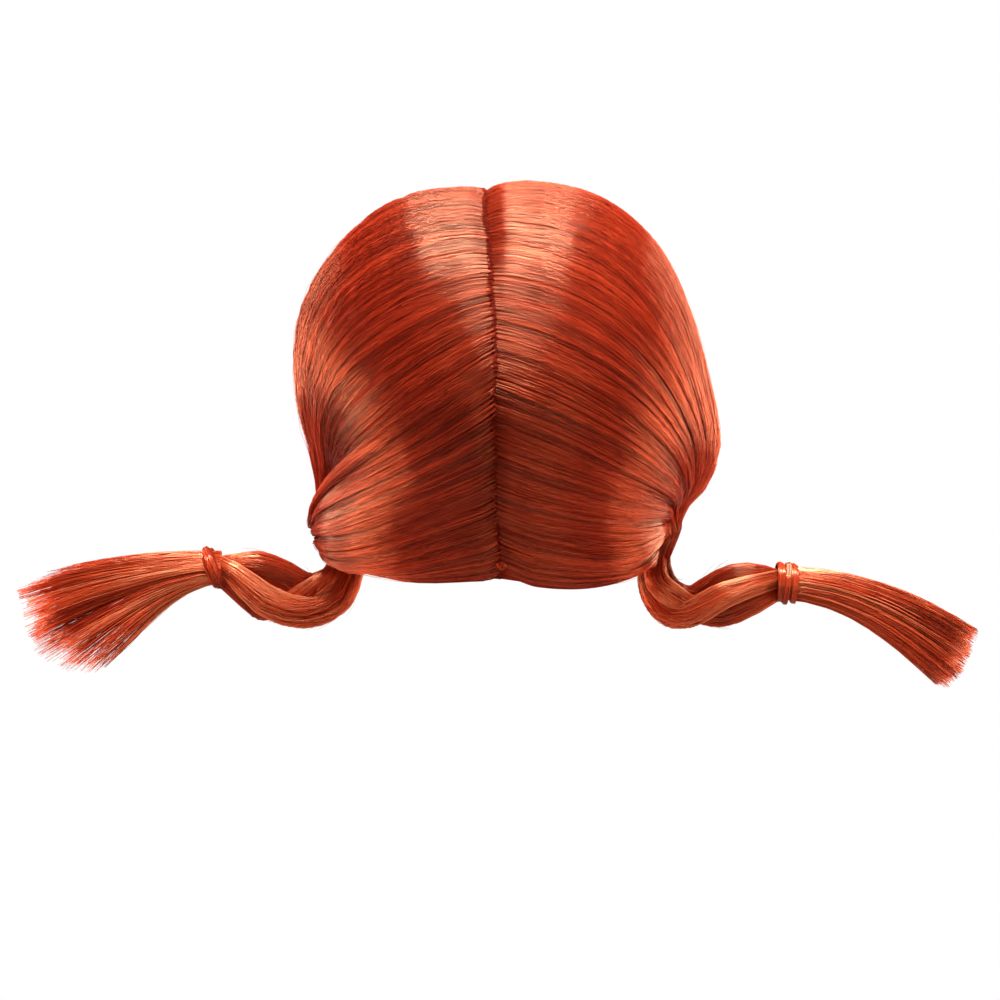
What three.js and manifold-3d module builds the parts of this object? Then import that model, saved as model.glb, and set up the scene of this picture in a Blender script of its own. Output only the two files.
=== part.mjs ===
// A centre-parted wig with two short plaits that stand out sideways, as it keeps its form on a head.
// Millimetres. +Z is up, +Y is towards the wearer's face and +X towards the wearer's right.
// The origin is the inside of the crown, where the wig sits on the head.
import * as THREE from "three";
import { mergeVertices } from "three/addons/utils/BufferGeometryUtils.js";
import Module from "manifold-3d";

const wasm = await Module();
wasm.setup();

// Driving dimensions
const GAP = 0.3; // clearance between pieces that touch
const HAIR_WALL = 8; // hair laid over the head, away from the rims
const RIM_WALL = 3.5; // the same at the forehead and nape edges
const RIM_SHARE = 0.07; // share of the parting's length over which a rim thins
const ROOT_START = 0.85; // share of a lock's length where it leaves the head for the bunch
const SECTION_POWER_TOP = 2; // plan outline at the crown, a plain ellipse
const SECTION_POWER_SIDE = 2.25; // plan outline round the sides, a fuller ellipse
const SEAM_WIDTH = 2.6; // sewn seam that shows in the parting
const SEAM_DEPTH = 4.6; // seam below the hair round it
const STRAND_STEPS = 18; // sections along each plait strand
const STRAND_SIDES = 8;
const STRAND_FLATNESS = 0.82; // a strand's depth for its width
const TIE_SETBACK = 4; // from the middle of a tie to the strands' cut ends

// Outer surface of the hair as radii from a point inside the head. tilt is the angle from straight up.
const FORM_CENTRE = new THREE.Vector3(0, 0, -85);
const FORM_ROWS = [
  { tilt: 0, left: 92.5, right: 92.5, back: 92.5, front: 92.5 },
  { tilt: 15, left: 92, right: 95, back: 93.5, front: 93 },
  { tilt: 30, left: 97, right: 97.5, back: 96.5, front: 95 },
  { tilt: 50, left: 98.5, right: 97, back: 101.5, front: 98 },
  { tilt: 70, left: 99, right: 94.5, back: 107, front: 100 },
  { tilt: 90, left: 96, right: 96.5, back: 109.5, front: 99 },
  { tilt: 108, left: 95.2, right: 105.5, back: 108, front: 97 },
  { tilt: 118, left: 96.5, right: 106, back: 106.5, front: 96 },
  { tilt: 124, left: 105, right: 103.5, back: 106, front: 96 },
  { tilt: 130, left: 115, right: 105.5, back: 107, front: 96 },
  { tilt: 138, left: 118, right: 118, back: 112, front: 96 },
  { tilt: 148, left: 106, right: 119, back: 118, front: 96 },
];

// The parting runs in the middle plane. angle is from straight ahead, over the crown and down the back.
const PARTING_ROWS = [
  { angle: 19, offset: -7 },
  { angle: 90, offset: -8.5 },
  { angle: 150, offset: -4.5 },
  { angle: 235.5, offset: -1 },
];

// How the hair flows from the parting to each bunch, from the forehead (along 0) to the nape (along 1).
// swing and rise aim the lock's bend, round towards the back and up from level.
// wrap and fall aim the waist where the locks are drawn together, in the same way.
// turn is the lock's place round the bunch's mouth.
const SIDES = [
  {
    name: "left",
    sign: -1,
    split: 0.715, // where the back hair starts along the parting
    overlap: 3.4, // how far the back hair lies over the front hair at the bunch
    pull: 1.3, // how closely the locks keep to their bends
    hold: 2, // how closely they keep to their waist
    dip: { depth: 1.8, reach: 0.05 }, // how far the hair sinks at the parting, for what share of its length
    locks: { front: 7, back: 5 },
    root: { x: -70, y: 14, z: -163, radius: 11, wall: 2.4, lean: -0.3 },
    flow: [
      { along: 0, swing: -35, rise: 20, wrap: -15, fall: -25, turn: -115 },
      { along: 0.35, swing: 0, rise: 15, wrap: 3, fall: -25, turn: -95 },
      { along: 0.5, swing: 20, rise: 26, wrap: 10, fall: -27, turn: -85 },
      { along: 0.6, swing: 38, rise: 15, wrap: 12, fall: -27, turn: -70 },
      { along: 0.715, swing: 60, rise: -13, wrap: 11, fall: -29, turn: -40 },
      { along: 0.85, swing: 59, rise: -32, wrap: 5, fall: -36, turn: 0 },
      { along: 1, swing: 58, rise: -48.5, wrap: 7, fall: -46, turn: 50 },
    ],
    plait: {
      a: [
        { x: -67.5, y: 13.5, z: -154, wide: 3 },
        { x: -67.5, y: 12.5, z: -164, wide: 3.6 },
        { x: -68.5, y: 7.5, z: -172, wide: 4.6 },
        { x: -70.5, y: 2, z: -179.5, wide: 5.4 },
        { x: -76, y: -1.5, z: -188.5, wide: 6.6 },
        { x: -88, y: -5, z: -194, wide: 7.6 },
        { x: -100, y: -7, z: -193, wide: 7.8 },
        { x: -112, y: -8, z: -187, wide: 7.6 },
        { x: -121, y: -7, z: -178.5, wide: 6 },
        { x: -133, y: -5, z: -170.5, wide: 4 },
      ],
      b: [
        { x: -71.5, y: 17, z: -154, wide: 3 },
        { x: -72, y: 16.5, z: -164, wide: 3.6 },
        { x: -75, y: 13, z: -172, wide: 4.6 },
        { x: -80.5, y: 9.5, z: -178.5, wide: 5.2 },
        { x: -90, y: 7, z: -182.5, wide: 6.2 },
        { x: -103, y: 2.5, z: -176.5, wide: 7 },
        { x: -114, y: 1, z: -172.5, wide: 7 },
        { x: -122, y: 0, z: -172, wide: 5.6 },
        { x: -133, y: -0.5, z: -172, wide: 4 },
      ],
      c: [
        { x: -73.2, y: 10.9, z: -154, wide: 3.4 },
        { x: -73.4, y: 10.6, z: -164, wide: 3.6 },
        { x: -76.5, y: 5, z: -171.5, wide: 4.6 },
        { x: -80, y: 0.5, z: -178, wide: 5 },
        { x: -88, y: -3, z: -183.5, wide: 5.6 },
        { x: -98, y: 1.5, z: -190, wide: 6 },
        { x: -111, y: 3, z: -192.5, wide: 6.6 },
        { x: -120, y: 1.5, z: -186, wide: 5.8 },
        { x: -133, y: -2, z: -176, wide: 4 },
      ],
    },
    tie: { x: -134.5, y: -3, z: -173, heading: -4, radius: 8, band: 3, thickness: 2, slant: -18 },
    tieColor: 0xb5492c,
    tuft: {
      bow: 0.05,
      locks: [
        { drop: 2, reach: 44 },
        { drop: 9, reach: 87 },
        { drop: 15, reach: 90 },
        { drop: 23, reach: 90 },
        { drop: 31, reach: 85 },
        { drop: 38, reach: 77 },
        { drop: 45, reach: 69 },
      ],
    },
  },
  {
    name: "right",
    sign: 1,
    split: 0.36,
    overlap: 2.2,
    pull: 1.3,
    hold: 2,
    dip: { depth: 3.6, reach: 0.09 },
    locks: { front: 4, back: 8 },
    root: { x: 73, y: -17, z: -161, radius: 10.2, wall: 2.4, lean: 0.3 },
    flow: [
      { along: 0, swing: -35, rise: 20, wrap: -10, fall: -30, turn: -95 },
      { along: 0.33, swing: 2, rise: 12, wrap: 0, fall: -34, turn: -40 },
      { along: 0.5, swing: 24, rise: 22, wrap: 10, fall: -32, turn: -15 },
      { along: 0.6, swing: 40, rise: 13, wrap: 14, fall: -32, turn: 5 },
      { along: 0.8, swing: 60, rise: -19, wrap: 15, fall: -33, turn: 35 },
      { along: 0.92, swing: 54, rise: -39, wrap: 15, fall: -38, turn: 70 },
      { along: 1, swing: 47, rise: -51.5, wrap: 20, fall: -48, turn: 130 },
    ],
    plait: {
      a: [
        { x: 71, y: -15.5, z: -152, wide: 3 },
        { x: 70.5, y: -15.5, z: -163, wide: 3.6 },
        { x: 68.8, y: -16, z: -173, wide: 4.8 },
        { x: 71, y: -17, z: -184, wide: 6 },
        { x: 78.5, y: -20.5, z: -193, wide: 6.8 },
        { x: 88, y: -24, z: -193, wide: 6.8 },
        { x: 98, y: -25, z: -187.5, wide: 6.6 },
        { x: 108, y: -24, z: -183, wide: 5.8 },
        { x: 131, y: -18, z: -177, wide: 4 },
      ],
      b: [
        { x: 75.5, y: -14.5, z: -152, wide: 2.8 },
        { x: 75.8, y: -14.5, z: -163, wide: 3.4 },
        { x: 75.5, y: -14.5, z: -174, wide: 4.6 },
        { x: 80, y: -13.5, z: -183, wide: 5.4 },
        { x: 89, y: -13, z: -187, wide: 6 },
        { x: 98.5, y: -15, z: -182, wide: 6.4 },
        { x: 108, y: -16, z: -177, wide: 6.4 },
        { x: 118, y: -16, z: -175.5, wide: 5.4 },
        { x: 131, y: -15.5, z: -178, wide: 4 },
      ],
      c: [
        { x: 74.2, y: -20.6, z: -152, wide: 3.4 },
        { x: 74.2, y: -20.7, z: -162, wide: 3.6 },
        { x: 72, y: -23, z: -172.5, wide: 5 },
        { x: 73.5, y: -25, z: -179.5, wide: 5.8 },
        { x: 81, y: -24.5, z: -185.5, wide: 5.8 },
        { x: 90, y: -17, z: -191.5, wide: 5.8 },
        { x: 102, y: -14, z: -194, wide: 6.4 },
        { x: 113, y: -15, z: -191, wide: 6 },
        { x: 131, y: -16.5, z: -182.5, wide: 4 },
      ],
    },
    tie: { x: 133.5, y: -16.5, z: -179.5, heading: 0, radius: 8, band: 2.4, thickness: 1.8, slant: 6 },
    tieColor: 0xa8744a,
    tuft: {
      bow: 0.1,
      locks: [
        { drop: 14, reach: 93 },
        { drop: 16, reach: 93 },
        { drop: 19, reach: 93 },
        { drop: 22, reach: 92 },
        { drop: 24, reach: 91 },
        { drop: 27, reach: 90 },
        { drop: 30, reach: 88 },
      ],
    },
  },
];

// Each side's hair is two overlapping swathes, combed into locks with grooves between them.
const SWATHES = ["front", "back"];
const LOCK_DEPTH = 2.1;
const FACETS_PER_LOCK = 4;
const TRAVEL_STEPS = 15;
const STEP_CROWDING = 1.25; // crowds the steps towards the bunch, where the bends are tight

const HAIR_COLOR = 0xab3d22;
const SEAM_COLOR = 0x5a1610;

const rad = THREE.MathUtils.degToRad;
const { lerp, smoothstep } = THREE.MathUtils;

// A smooth value of one column of a table, read at a place in its first column.
function readRows(rows, key, place, column) {
  const last = rows.length - 1;
  const at = THREE.MathUtils.clamp(place, rows[0][key], rows[last][key]);
  let i = 0;
  while (i < last - 1 && rows[i + 1][key] < at) i += 1;
  const slope = (j) => {
    const lo = rows[Math.max(j - 1, 0)];
    const hi = rows[Math.min(j + 1, last)];
    return (hi[column] - lo[column]) / (hi[key] - lo[key]);
  };
  const a = rows[i];
  const b = rows[i + 1];
  const span = b[key] - a[key];
  const t = (at - a[key]) / span;
  const rest = 1 - t;
  return (
    a[column] * (1 + 2 * t) * rest * rest +
    slope(i) * span * t * rest * rest +
    b[column] * t * t * (3 - 2 * t) -
    slope(i + 1) * span * t * t * rest
  );
}

// Distance from the form's centre to the hair's outer surface along a unit direction.
function formRadius(direction) {
  const tilt = THREE.MathUtils.radToDeg(Math.acos(direction.z));
  const level = Math.max(Math.hypot(direction.x, direction.y), 1e-9);
  const across = readRows(FORM_ROWS, "tilt", tilt, direction.x < 0 ? "left" : "right");
  const deep = readRows(FORM_ROWS, "tilt", tilt, direction.y < 0 ? "back" : "front");
  const power = lerp(SECTION_POWER_TOP, SECTION_POWER_SIDE, smoothstep(tilt, 0, 60));
  const x = Math.abs(direction.x) / level / across;
  const y = Math.abs(direction.y) / level / deep;
  return (x ** power + y ** power) ** (-1 / power);
}

// Direction from the form's centre to the parting, moved sideways by an extra offset in millimetres.
function partingDirection(along, aside) {
  const last = PARTING_ROWS.length - 1;
  const angle = lerp(PARTING_ROWS[0].angle, PARTING_ROWS[last].angle, along);
  const offset = readRows(PARTING_ROWS, "angle", angle, "offset") + aside;
  const ahead = new THREE.Vector3(0, Math.cos(rad(angle)), Math.sin(rad(angle)));
  return ahead.setX(offset / formRadius(ahead)).normalize();
}

// A point on the bunch's mouth, at a turn round it from outwards (0) towards the back (90).
function bunchPoint(side, turn, radius) {
  const { x, y, z, lean } = side.root;
  const out = side.sign * radius * Math.cos(rad(turn));
  return new THREE.Vector3(x + out, y - radius * Math.sin(rad(turn)), z + out * lean);
}

// A unit direction on a side, turned from outwards round towards the back and raised from level.
function aim(side, round, raised) {
  const level = Math.cos(rad(raised));
  const out = side.sign * level * Math.cos(rad(round));
  return new THREE.Vector3(out, -level * Math.sin(rad(round)), Math.sin(rad(raised)));
}

// A point on one lock: along picks the lock, travel goes from the parting (0) to the bunch (1).
function lockPoint(side, along, travel, bunchRadius, depth) {
  const row = (column) => readRows(side.flow, "along", along, column);
  const start = partingDirection(along, side.sign * (SEAM_WIDTH / 2 + GAP));
  const bend = aim(side, row("swing"), row("rise"));
  const waist = aim(side, row("wrap"), row("fall"));
  const end = bunchPoint(side, row("turn"), bunchRadius).sub(FORM_CENTRE);
  const reach = end.length();
  end.normalize();
  const rest = 1 - travel;
  const direction = new THREE.Vector3()
    .addScaledVector(start, rest ** 3)
    .addScaledVector(bend, 3 * side.pull * rest ** 2 * travel)
    .addScaledVector(waist, 3 * side.hold * rest * travel ** 2)
    .addScaledVector(end, travel ** 3)
    .normalize();
  const settled = smoothstep(travel, ROOT_START, 1);
  const radius = lerp(formRadius(direction) - depth, reach, settled);
  return direction.multiplyScalar(radius).add(FORM_CENTRE);
}

// How deep the outer surface lies under the form: thin at a rim, low at the parting, grooved between locks.
function outerDepth(side, swath, along, share, travel) {
  const isFront = swath === "front";
  const fromRim = isFront ? along : 1 - along;
  const thin = (HAIR_WALL - RIM_WALL) * (1 - smoothstep(fromRim, 0, RIM_SHARE));
  const dip = side.dip.depth * (1 - smoothstep(travel, 0, side.dip.reach));
  const crest = Math.abs(Math.cos(Math.PI * side.locks[swath] * share));
  const comb = LOCK_DEPTH * (1 - crest) * smoothstep(travel, 0.05, 0.6);
  const lapping = isFront ? smoothstep(share, 0.5, 1) : 0.5 * (smoothstep(share, 0, 0.3) - 1);
  const lap = side.overlap * lapping * smoothstep(travel, 0.3, 0.6);
  return thin + dip + comb + lap;
}

// A closed geometry from rings of points. A closed path joins its last ring to its first.
// An open one has flat ends.
function loft(rings, closedPath = false) {
  const sides = rings[0].length;
  const positions = rings.flat().flatMap((p) => [p.x, p.y, p.z]);
  const index = [];
  const spans = closedPath ? rings.length : rings.length - 1;
  for (let i = 0; i < spans; i += 1) {
    const low = i * sides;
    const high = ((i + 1) % rings.length) * sides;
    for (let j = 0; j < sides; j += 1) {
      const k = (j + 1) % sides;
      index.push(low + j, low + k, high + k, low + j, high + k, high + j);
    }
  }
  if (!closedPath) {
    const top = (rings.length - 1) * sides;
    for (let j = 1; j < sides - 1; j += 1) {
      index.push(0, j + 1, j, top, top + j, top + j + 1);
    }
  }
  return facingOut(positions, index);
}

// A geometry whose faces point outwards, whichever way its rings ran.
function facingOut(positions, index) {
  const corner = (i) => new THREE.Vector3().fromArray(positions, 3 * index[i]);
  let volume = 0;
  for (let i = 0; i < index.length; i += 3) {
    volume += corner(i).dot(corner(i + 1).cross(corner(i + 2)));
  }
  if (volume < 0) index.reverse();
  return new THREE.BufferGeometry()
    .setAttribute("position", new THREE.Float32BufferAttribute(positions, 3))
    .setIndex(index);
}

// A closed geometry and a manifold-3d solid, turned into each other.
function toSolid(geometry) {
  const merged = mergeVertices(geometry, 1e-4);
  return new wasm.Manifold(
    new wasm.Mesh({
      numProp: 3,
      vertProperties: merged.attributes.position.array,
      triVerts: new Uint32Array(merged.index.array),
    }),
  );
}

function toGeometry(solid) {
  const { vertProperties, triVerts } = solid.getMesh();
  return new THREE.BufferGeometry()
    .setAttribute("position", new THREE.BufferAttribute(vertProperties, 3))
    .setIndex(new THREE.BufferAttribute(triVerts, 1));
}

// Places from the parting to the bunch, spaced evenly along one lock but closer near the bunch.
function evenTravels(side, along) {
  const fine = 200;
  const lengths = [0];
  let before = lockPoint(side, along, 0, side.root.radius, 0);
  for (let i = 1; i <= fine; i += 1) {
    const point = lockPoint(side, along, i / fine, side.root.radius, 0);
    lengths.push(lengths[i - 1] + point.distanceTo(before));
    before = point;
  }
  const travels = [];
  let i = 0;
  for (let j = 0; j < TRAVEL_STEPS; j += 1) {
    const share = 1 - (1 - j / (TRAVEL_STEPS - 1)) ** STEP_CROWDING;
    while (i < fine && lengths[i] < share * lengths[fine]) i += 1;
    travels.push(i / fine);
  }
  return travels;
}

// One swath of combed hair: a wall of locks, outside and inside, from the parting to the bunch.
function swathGeometry(side, swath) {
  const isFront = swath === "front";
  const rows = side.locks[swath] * FACETS_PER_LOCK;
  const { radius, wall } = side.root;
  const rings = [];
  const middle = isFront ? side.split / 2 : (1 + side.split) / 2;
  for (const travel of evenTravels(side, middle)) {
    const edge = lerp(0.0015, 0.018, smoothstep(travel, 0.3, 0.8));
    const from = isFront ? 0 : side.split + edge;
    const to = isFront ? side.split - edge : 1;
    const outside = [];
    const inside = [];
    for (let i = 0; i <= rows; i += 1) {
      const share = i / rows;
      const along = lerp(from, to, share);
      const sunk = outerDepth(side, swath, along, share, travel);
      outside.push(lockPoint(side, along, travel, radius, sunk));
      inside.push(lockPoint(side, along, travel, radius - wall, HAIR_WALL));
    }
    rings.push([...outside, ...inside.reverse()]);
  }
  return shellFromRings(rings);
}

// A closed wall from rings that run out along one face and back along the other.
// Strips close both ends.
function shellFromRings(rings) {
  const sides = rings[0].length;
  const positions = rings.flat().flatMap((p) => [p.x, p.y, p.z]);
  const index = [];
  for (let i = 0; i < rings.length - 1; i += 1) {
    for (let j = 0; j < sides; j += 1) {
      const a = i * sides + j;
      const b = i * sides + ((j + 1) % sides);
      index.push(a, b, b + sides, a, b + sides, a + sides);
    }
  }
  const top = (rings.length - 1) * sides;
  for (let j = 0; j < sides / 2 - 1; j += 1) {
    const far = sides - 1 - j;
    index.push(j, far, far - 1, j, far - 1, j + 1);
    index.push(top + j, top + far - 1, top + far, top + j, top + j + 1, top + far - 1);
  }
  return facingOut(positions, index);
}

// The sewn seam that shows in the parting, from the forehead to the nape.
function seamGeometry() {
  const steps = 34;
  const half = SEAM_WIDTH / 2;
  const rings = [];
  for (let i = 0; i <= steps; i += 1) {
    const along = i / steps;
    const thin = (HAIR_WALL - RIM_WALL) * (1 - smoothstep(Math.min(along, 1 - along), 0, RIM_SHARE));
    const top = Math.min(SEAM_DEPTH + thin, HAIR_WALL - 1);
    const corner = (aside, depth) => {
      const direction = partingDirection(along, aside);
      return direction.multiplyScalar(formRadius(direction) - depth).add(FORM_CENTRE);
    };
    rings.push([
      corner(-half, HAIR_WALL),
      corner(half, HAIR_WALL),
      corner(half, top + 0.5),
      corner(0, top),
      corner(-half, top + 0.5),
    ]);
  }
  return loft(rings);
}

// One strand of a plait, swept along its rows. grow makes room for it in the strands it presses into.
function strandGeometry(rows, grow) {
  const route = new THREE.CatmullRomCurve3(
    rows.map(({ x, y, z }) => new THREE.Vector3(x, y, z)),
    false,
    "centripetal",
  );
  const numbered = rows.map(({ wide }, place) => ({ place, wide }));
  const rings = [];
  for (let i = 0; i <= STRAND_STEPS; i += 1) {
    const share = i / STRAND_STEPS;
    const centre = route.getPoint(share);
    const tangent = route.getTangent(share);
    const wide = readRows(numbered, "place", share * (rows.length - 1), "wide");
    const deep = new THREE.Vector3(0, 1, 0).addScaledVector(tangent, -tangent.y).normalize();
    const across = new THREE.Vector3().crossVectors(tangent, deep);
    rings.push(ovalRing(centre, across, deep, wide + grow, wide * STRAND_FLATNESS + grow, STRAND_SIDES));
  }
  return loft(rings);
}

// Points round an oval.
function ovalRing(centre, across, deep, wide, thick, sides) {
  const ring = [];
  for (let j = 0; j < sides; j += 1) {
    const turn = (2 * Math.PI * j) / sides;
    ring.push(
      centre
        .clone()
        .addScaledVector(across, wide * Math.cos(turn))
        .addScaledVector(deep, thick * Math.sin(turn)),
    );
  }
  return ring;
}

// The strands of a plait, each pressed into by the strands before it and cut off square at the tie.
function plaitGeometries(side) {
  const { point, ahead } = plaitEnd(side);
  const back = ahead.clone().negate();
  const room = toSolid(tieGeometry(side, GAP));
  const rowSets = Object.values(side.plait);
  return rowSets.map((rows, order) => {
    const whole = toSolid(strandGeometry(rows, 0));
    let strand = whole.trimByPlane(back.toArray(), back.dot(point)).subtract(room);
    for (const before of rowSets.slice(0, order)) {
      strand = strand.subtract(toSolid(strandGeometry(before, 1.5 * GAP)));
    }
    const bodies = strand.decompose().sort((a, b) => b.volume() - a.volume());
    return toGeometry(bodies[0]);
  });
}

// The end of a plait: the point where its tuft starts and the way it heads.
function plaitEnd(side) {
  const { x, y, z, heading } = side.tie;
  const ahead = new THREE.Vector3(side.sign * Math.cos(rad(heading)), 0, Math.sin(rad(heading)));
  const point = new THREE.Vector3(x, y, z).addScaledVector(ahead, -TIE_SETBACK);
  return { point, ahead };
}

// The band round the end of a plait, slanted a little across it. grow makes room for it in what it binds.
function tieGeometry(side, grow) {
  const { ahead } = plaitEnd(side);
  const { x, y, z, radius, band, thickness, slant } = side.tie;
  const centre = new THREE.Vector3(x, y, z);
  const axis = ahead.clone().applyAxisAngle(new THREE.Vector3(0, 1, 0), rad(slant));
  const up = new THREE.Vector3().crossVectors(new THREE.Vector3(0, 1, 0), axis).normalize();
  const deep = new THREE.Vector3().crossVectors(axis, up);
  const rings = [];
  const steps = 18;
  for (let i = 0; i < steps; i += 1) {
    const turn = (2 * Math.PI * i) / steps;
    const outwards = up.clone().multiplyScalar(Math.cos(turn)).addScaledVector(deep, Math.sin(turn));
    const middle = centre.clone().addScaledVector(outwards, radius + thickness / 2);
    rings.push(ovalRing(middle, outwards, axis, thickness / 2 + grow, band + grow, 6));
  }
  return loft(rings, true);
}

// The loose end past the tie: locks that fan out in two layers, fused to a bound head.
function tuftGeometry(side) {
  const { point, ahead } = plaitEnd(side);
  const start = point.clone().addScaledVector(ahead, GAP);
  const deep = new THREE.Vector3(0, 1, 0);
  const across = new THREE.Vector3().crossVectors(deep, ahead).multiplyScalar(side.sign);
  const neck = side.tie.radius - 0.5;
  const headRows = [
    { far: 0, size: neck },
    { far: 9, size: neck },
    { far: 18, size: neck + 1 },
    { far: 30, size: neck - 3 },
  ];
  const headRings = headRows.map(({ far, size }) =>
    ovalRing(start.clone().addScaledVector(ahead, far), across, deep, size, size, 10),
  );
  let tuft = toSolid(loft(headRings));
  const { locks, bow } = side.tuft;
  locks.forEach(({ drop, reach }, i) => {
    const spread = i / (locks.length - 1) - 0.5;
    const chord = new THREE.Vector3(side.sign * Math.cos(rad(drop)), 0, -Math.sin(rad(drop)));
    const layer = i % 2 === 0 ? -1 : 1;
    const base = start.clone().addScaledVector(ahead, 6).addScaledVector(across, neck * spread);
    base.addScaledVector(deep, layer * 2.4);
    const tip = start.clone().addScaledVector(chord, reach).addScaledVector(deep, layer * 6);
    const middle = base.clone().lerp(tip, 0.5);
    middle.z += bow * reach;
    tuft = tuft.add(toSolid(lockGeometry([base, middle, tip], deep)));
  });
  return toGeometry(tuft.subtract(toSolid(tieGeometry(side, GAP))));
}

// One loose lock, swelling from its bound end and thinning to a small tip.
function lockGeometry(points, deep) {
  const curve = new THREE.CatmullRomCurve3(points);
  const rows = [
    { share: 0, wide: 3.4 },
    { share: 0.25, wide: 4.8 },
    { share: 0.5, wide: 6 },
    { share: 0.75, wide: 5.8 },
    { share: 0.9, wide: 4.2 },
    { share: 1, wide: 1.4 },
  ];
  const rings = rows.map(({ share, wide }) => {
    const tangent = curve.getTangent(share);
    const across = new THREE.Vector3().crossVectors(tangent, deep).normalize();
    const thick = new THREE.Vector3().crossVectors(across, tangent);
    return ovalRing(curve.getPoint(share), across, thick, wide, 0.9 * wide, 6);
  });
  return loft(rings);
}

const hair = new THREE.MeshStandardMaterial({ color: HAIR_COLOR, roughness: 0.42, metalness: 0 });
const seam = new THREE.MeshStandardMaterial({ color: SEAM_COLOR, roughness: 0.8, metalness: 0 });

const wig = new THREE.Group();
function addPiece(name, geometry, material) {
  const mesh = new THREE.Mesh(geometry, material);
  mesh.name = name;
  wig.add(mesh);
}

addPiece("parting_seam", seamGeometry(), seam);
for (const side of SIDES) {
  for (const swath of SWATHES) {
    addPiece(`hair_${swath}_${side.name}`, swathGeometry(side, swath), hair);
  }
  const strandNames = Object.keys(side.plait);
  plaitGeometries(side).forEach((geometry, order) => {
    addPiece(`plait_${side.name}_strand_${strandNames[order]}`, geometry, hair);
  });
  const band = new THREE.MeshStandardMaterial({ color: side.tieColor, roughness: 0.6, metalness: 0 });
  addPiece(`tie_${side.name}`, tieGeometry(side, 0), band);
  addPiece(`tuft_${side.name}`, tuftGeometry(side), hair);
}

export default wig;
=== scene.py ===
"""A centre-parted copper wig with two short plaits, dressed fibre by fibre around its solids."""

import logging
import math
from dataclasses import dataclass
from enum import Enum
from typing import NamedTuple, Sequence

import bpy
import numpy as np
from mathutils import Euler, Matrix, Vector


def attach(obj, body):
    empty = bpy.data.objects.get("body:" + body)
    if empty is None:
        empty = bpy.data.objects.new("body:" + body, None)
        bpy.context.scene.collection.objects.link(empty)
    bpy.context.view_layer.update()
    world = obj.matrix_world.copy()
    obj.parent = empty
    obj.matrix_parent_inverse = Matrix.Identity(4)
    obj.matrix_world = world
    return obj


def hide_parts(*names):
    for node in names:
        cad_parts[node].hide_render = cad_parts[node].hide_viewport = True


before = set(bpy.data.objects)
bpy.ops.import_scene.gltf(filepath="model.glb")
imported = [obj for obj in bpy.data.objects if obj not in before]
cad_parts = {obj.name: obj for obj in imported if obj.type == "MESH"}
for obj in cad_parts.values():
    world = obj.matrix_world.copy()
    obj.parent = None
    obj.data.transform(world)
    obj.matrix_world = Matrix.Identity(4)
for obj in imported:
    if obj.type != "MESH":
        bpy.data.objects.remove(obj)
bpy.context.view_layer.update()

LOG = logging.getLogger("wig")
Array = np.ndarray
Colour = tuple[float, float, float]
Span = tuple[float, float]

MM = 0.001  # sizes below are in millimetres, and the scene is in metres
PER_MM = (1 / MM, 1 / MM, 1 / MM)  # stretches Object coordinates to millimetres
FORWARD = np.array([0.0, 1.0, 0.0])  # towards the wearer's face
UPWARD = np.array([0.0, 0.0, 1.0])
BODY = "root"
# Tints above 1 reach the pale colour: the plait strands' painted highlight and the palest tuft locks.
PALEST = 1.25  # tint of the palest fibre; 0 is the darkest
MERGE_REACH = 0.01  # points of a tube that are nearer than this become one
SEED = 11


class Side(Enum):
    """The wearer's two sides, by the sign of X."""

    LEFT = -1
    RIGHT = 1

    @property
    def label(self) -> str:
        """The side's word in the names of its pieces."""
        return self.name.lower()


class Swath(Enum):
    """The two swaths that each side's hair is combed into."""

    FRONT = "front"
    BACK = "back"


class Slot(Enum):
    """The record's finishes."""

    HAIR = "hair"
    SEAM = "seam"
    WRAP = "hair_wrap"
    ELASTIC = "elastic"


def smoothstep(value: Array | float, low: float, high: float) -> Array:
    """Eases from 0 at low to 1 at high."""
    share = np.clip((np.asarray(value, float) - low) / (high - low), 0, 1)
    return share * share * (3 - 2 * share)


def blend(low: Array | float, high: Array | float, share: Array | float) -> Array:
    """Goes from low at share 0 to high at share 1."""
    return low + (high - low) * np.asarray(share, float)


def unit(vectors: Array) -> Array:
    """Scales vectors to length one along their last axis."""
    return vectors / np.maximum(np.linalg.norm(vectors, axis=-1, keepdims=True), 1e-9)


def wave(turns: Array) -> Array:
    """Rises and falls between -1 and 1, once in each whole turn."""
    return np.sin(2 * np.pi * turns)


def hermite(start: Array, leave: Array, end: Array, enter: Array, t: Array) -> Array:
    """Runs smoothly from one value to another.

    Args:
        start: The value at t 0.
        leave: The slope there.
        end: The value at t 1.
        enter: The slope there.
        t: Places between the two.

    Returns:
        The values at those places.
    """
    rest = 1 - t
    first = start * (1 + 2 * t) * rest**2 + leave * t * rest**2
    return first + end * t**2 * (3 - 2 * t) - enter * t**2 * rest


@dataclass(frozen=True)
class SmoothTable:
    """One column of a table of sizes, read smoothly between its rows."""

    places: tuple[float, ...]
    values: tuple[float, ...]

    @classmethod
    def column(cls, rows: Sequence[NamedTuple], key: str, name: str) -> "SmoothTable":
        """Takes a named column of a table's rows, with another column as its places."""
        return cls(tuple(getattr(r, key) for r in rows), tuple(getattr(r, name) for r in rows))

    def at(self, where: Array | float) -> Array:
        """Reads the column.

        Args:
            where: Places along the table, held inside its ends.

        Returns:
            The values there. A row's slope comes from the rows beside it.
        """
        place = np.array(self.places, float)
        value = np.array(self.values, float)
        order = np.arange(len(place))
        before = np.maximum(order - 1, 0)
        after = np.minimum(order + 1, len(place) - 1)
        slope = (value[after] - value[before]) / (place[after] - place[before])
        held = np.clip(where, place[0], place[-1])
        row = np.clip(np.searchsorted(place, held) - 1, 0, len(place) - 2)
        span = place[row + 1] - place[row]
        t = (held - place[row]) / span
        return hermite(value[row], slope[row] * span, value[row + 1], slope[row + 1] * span, t)


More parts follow.
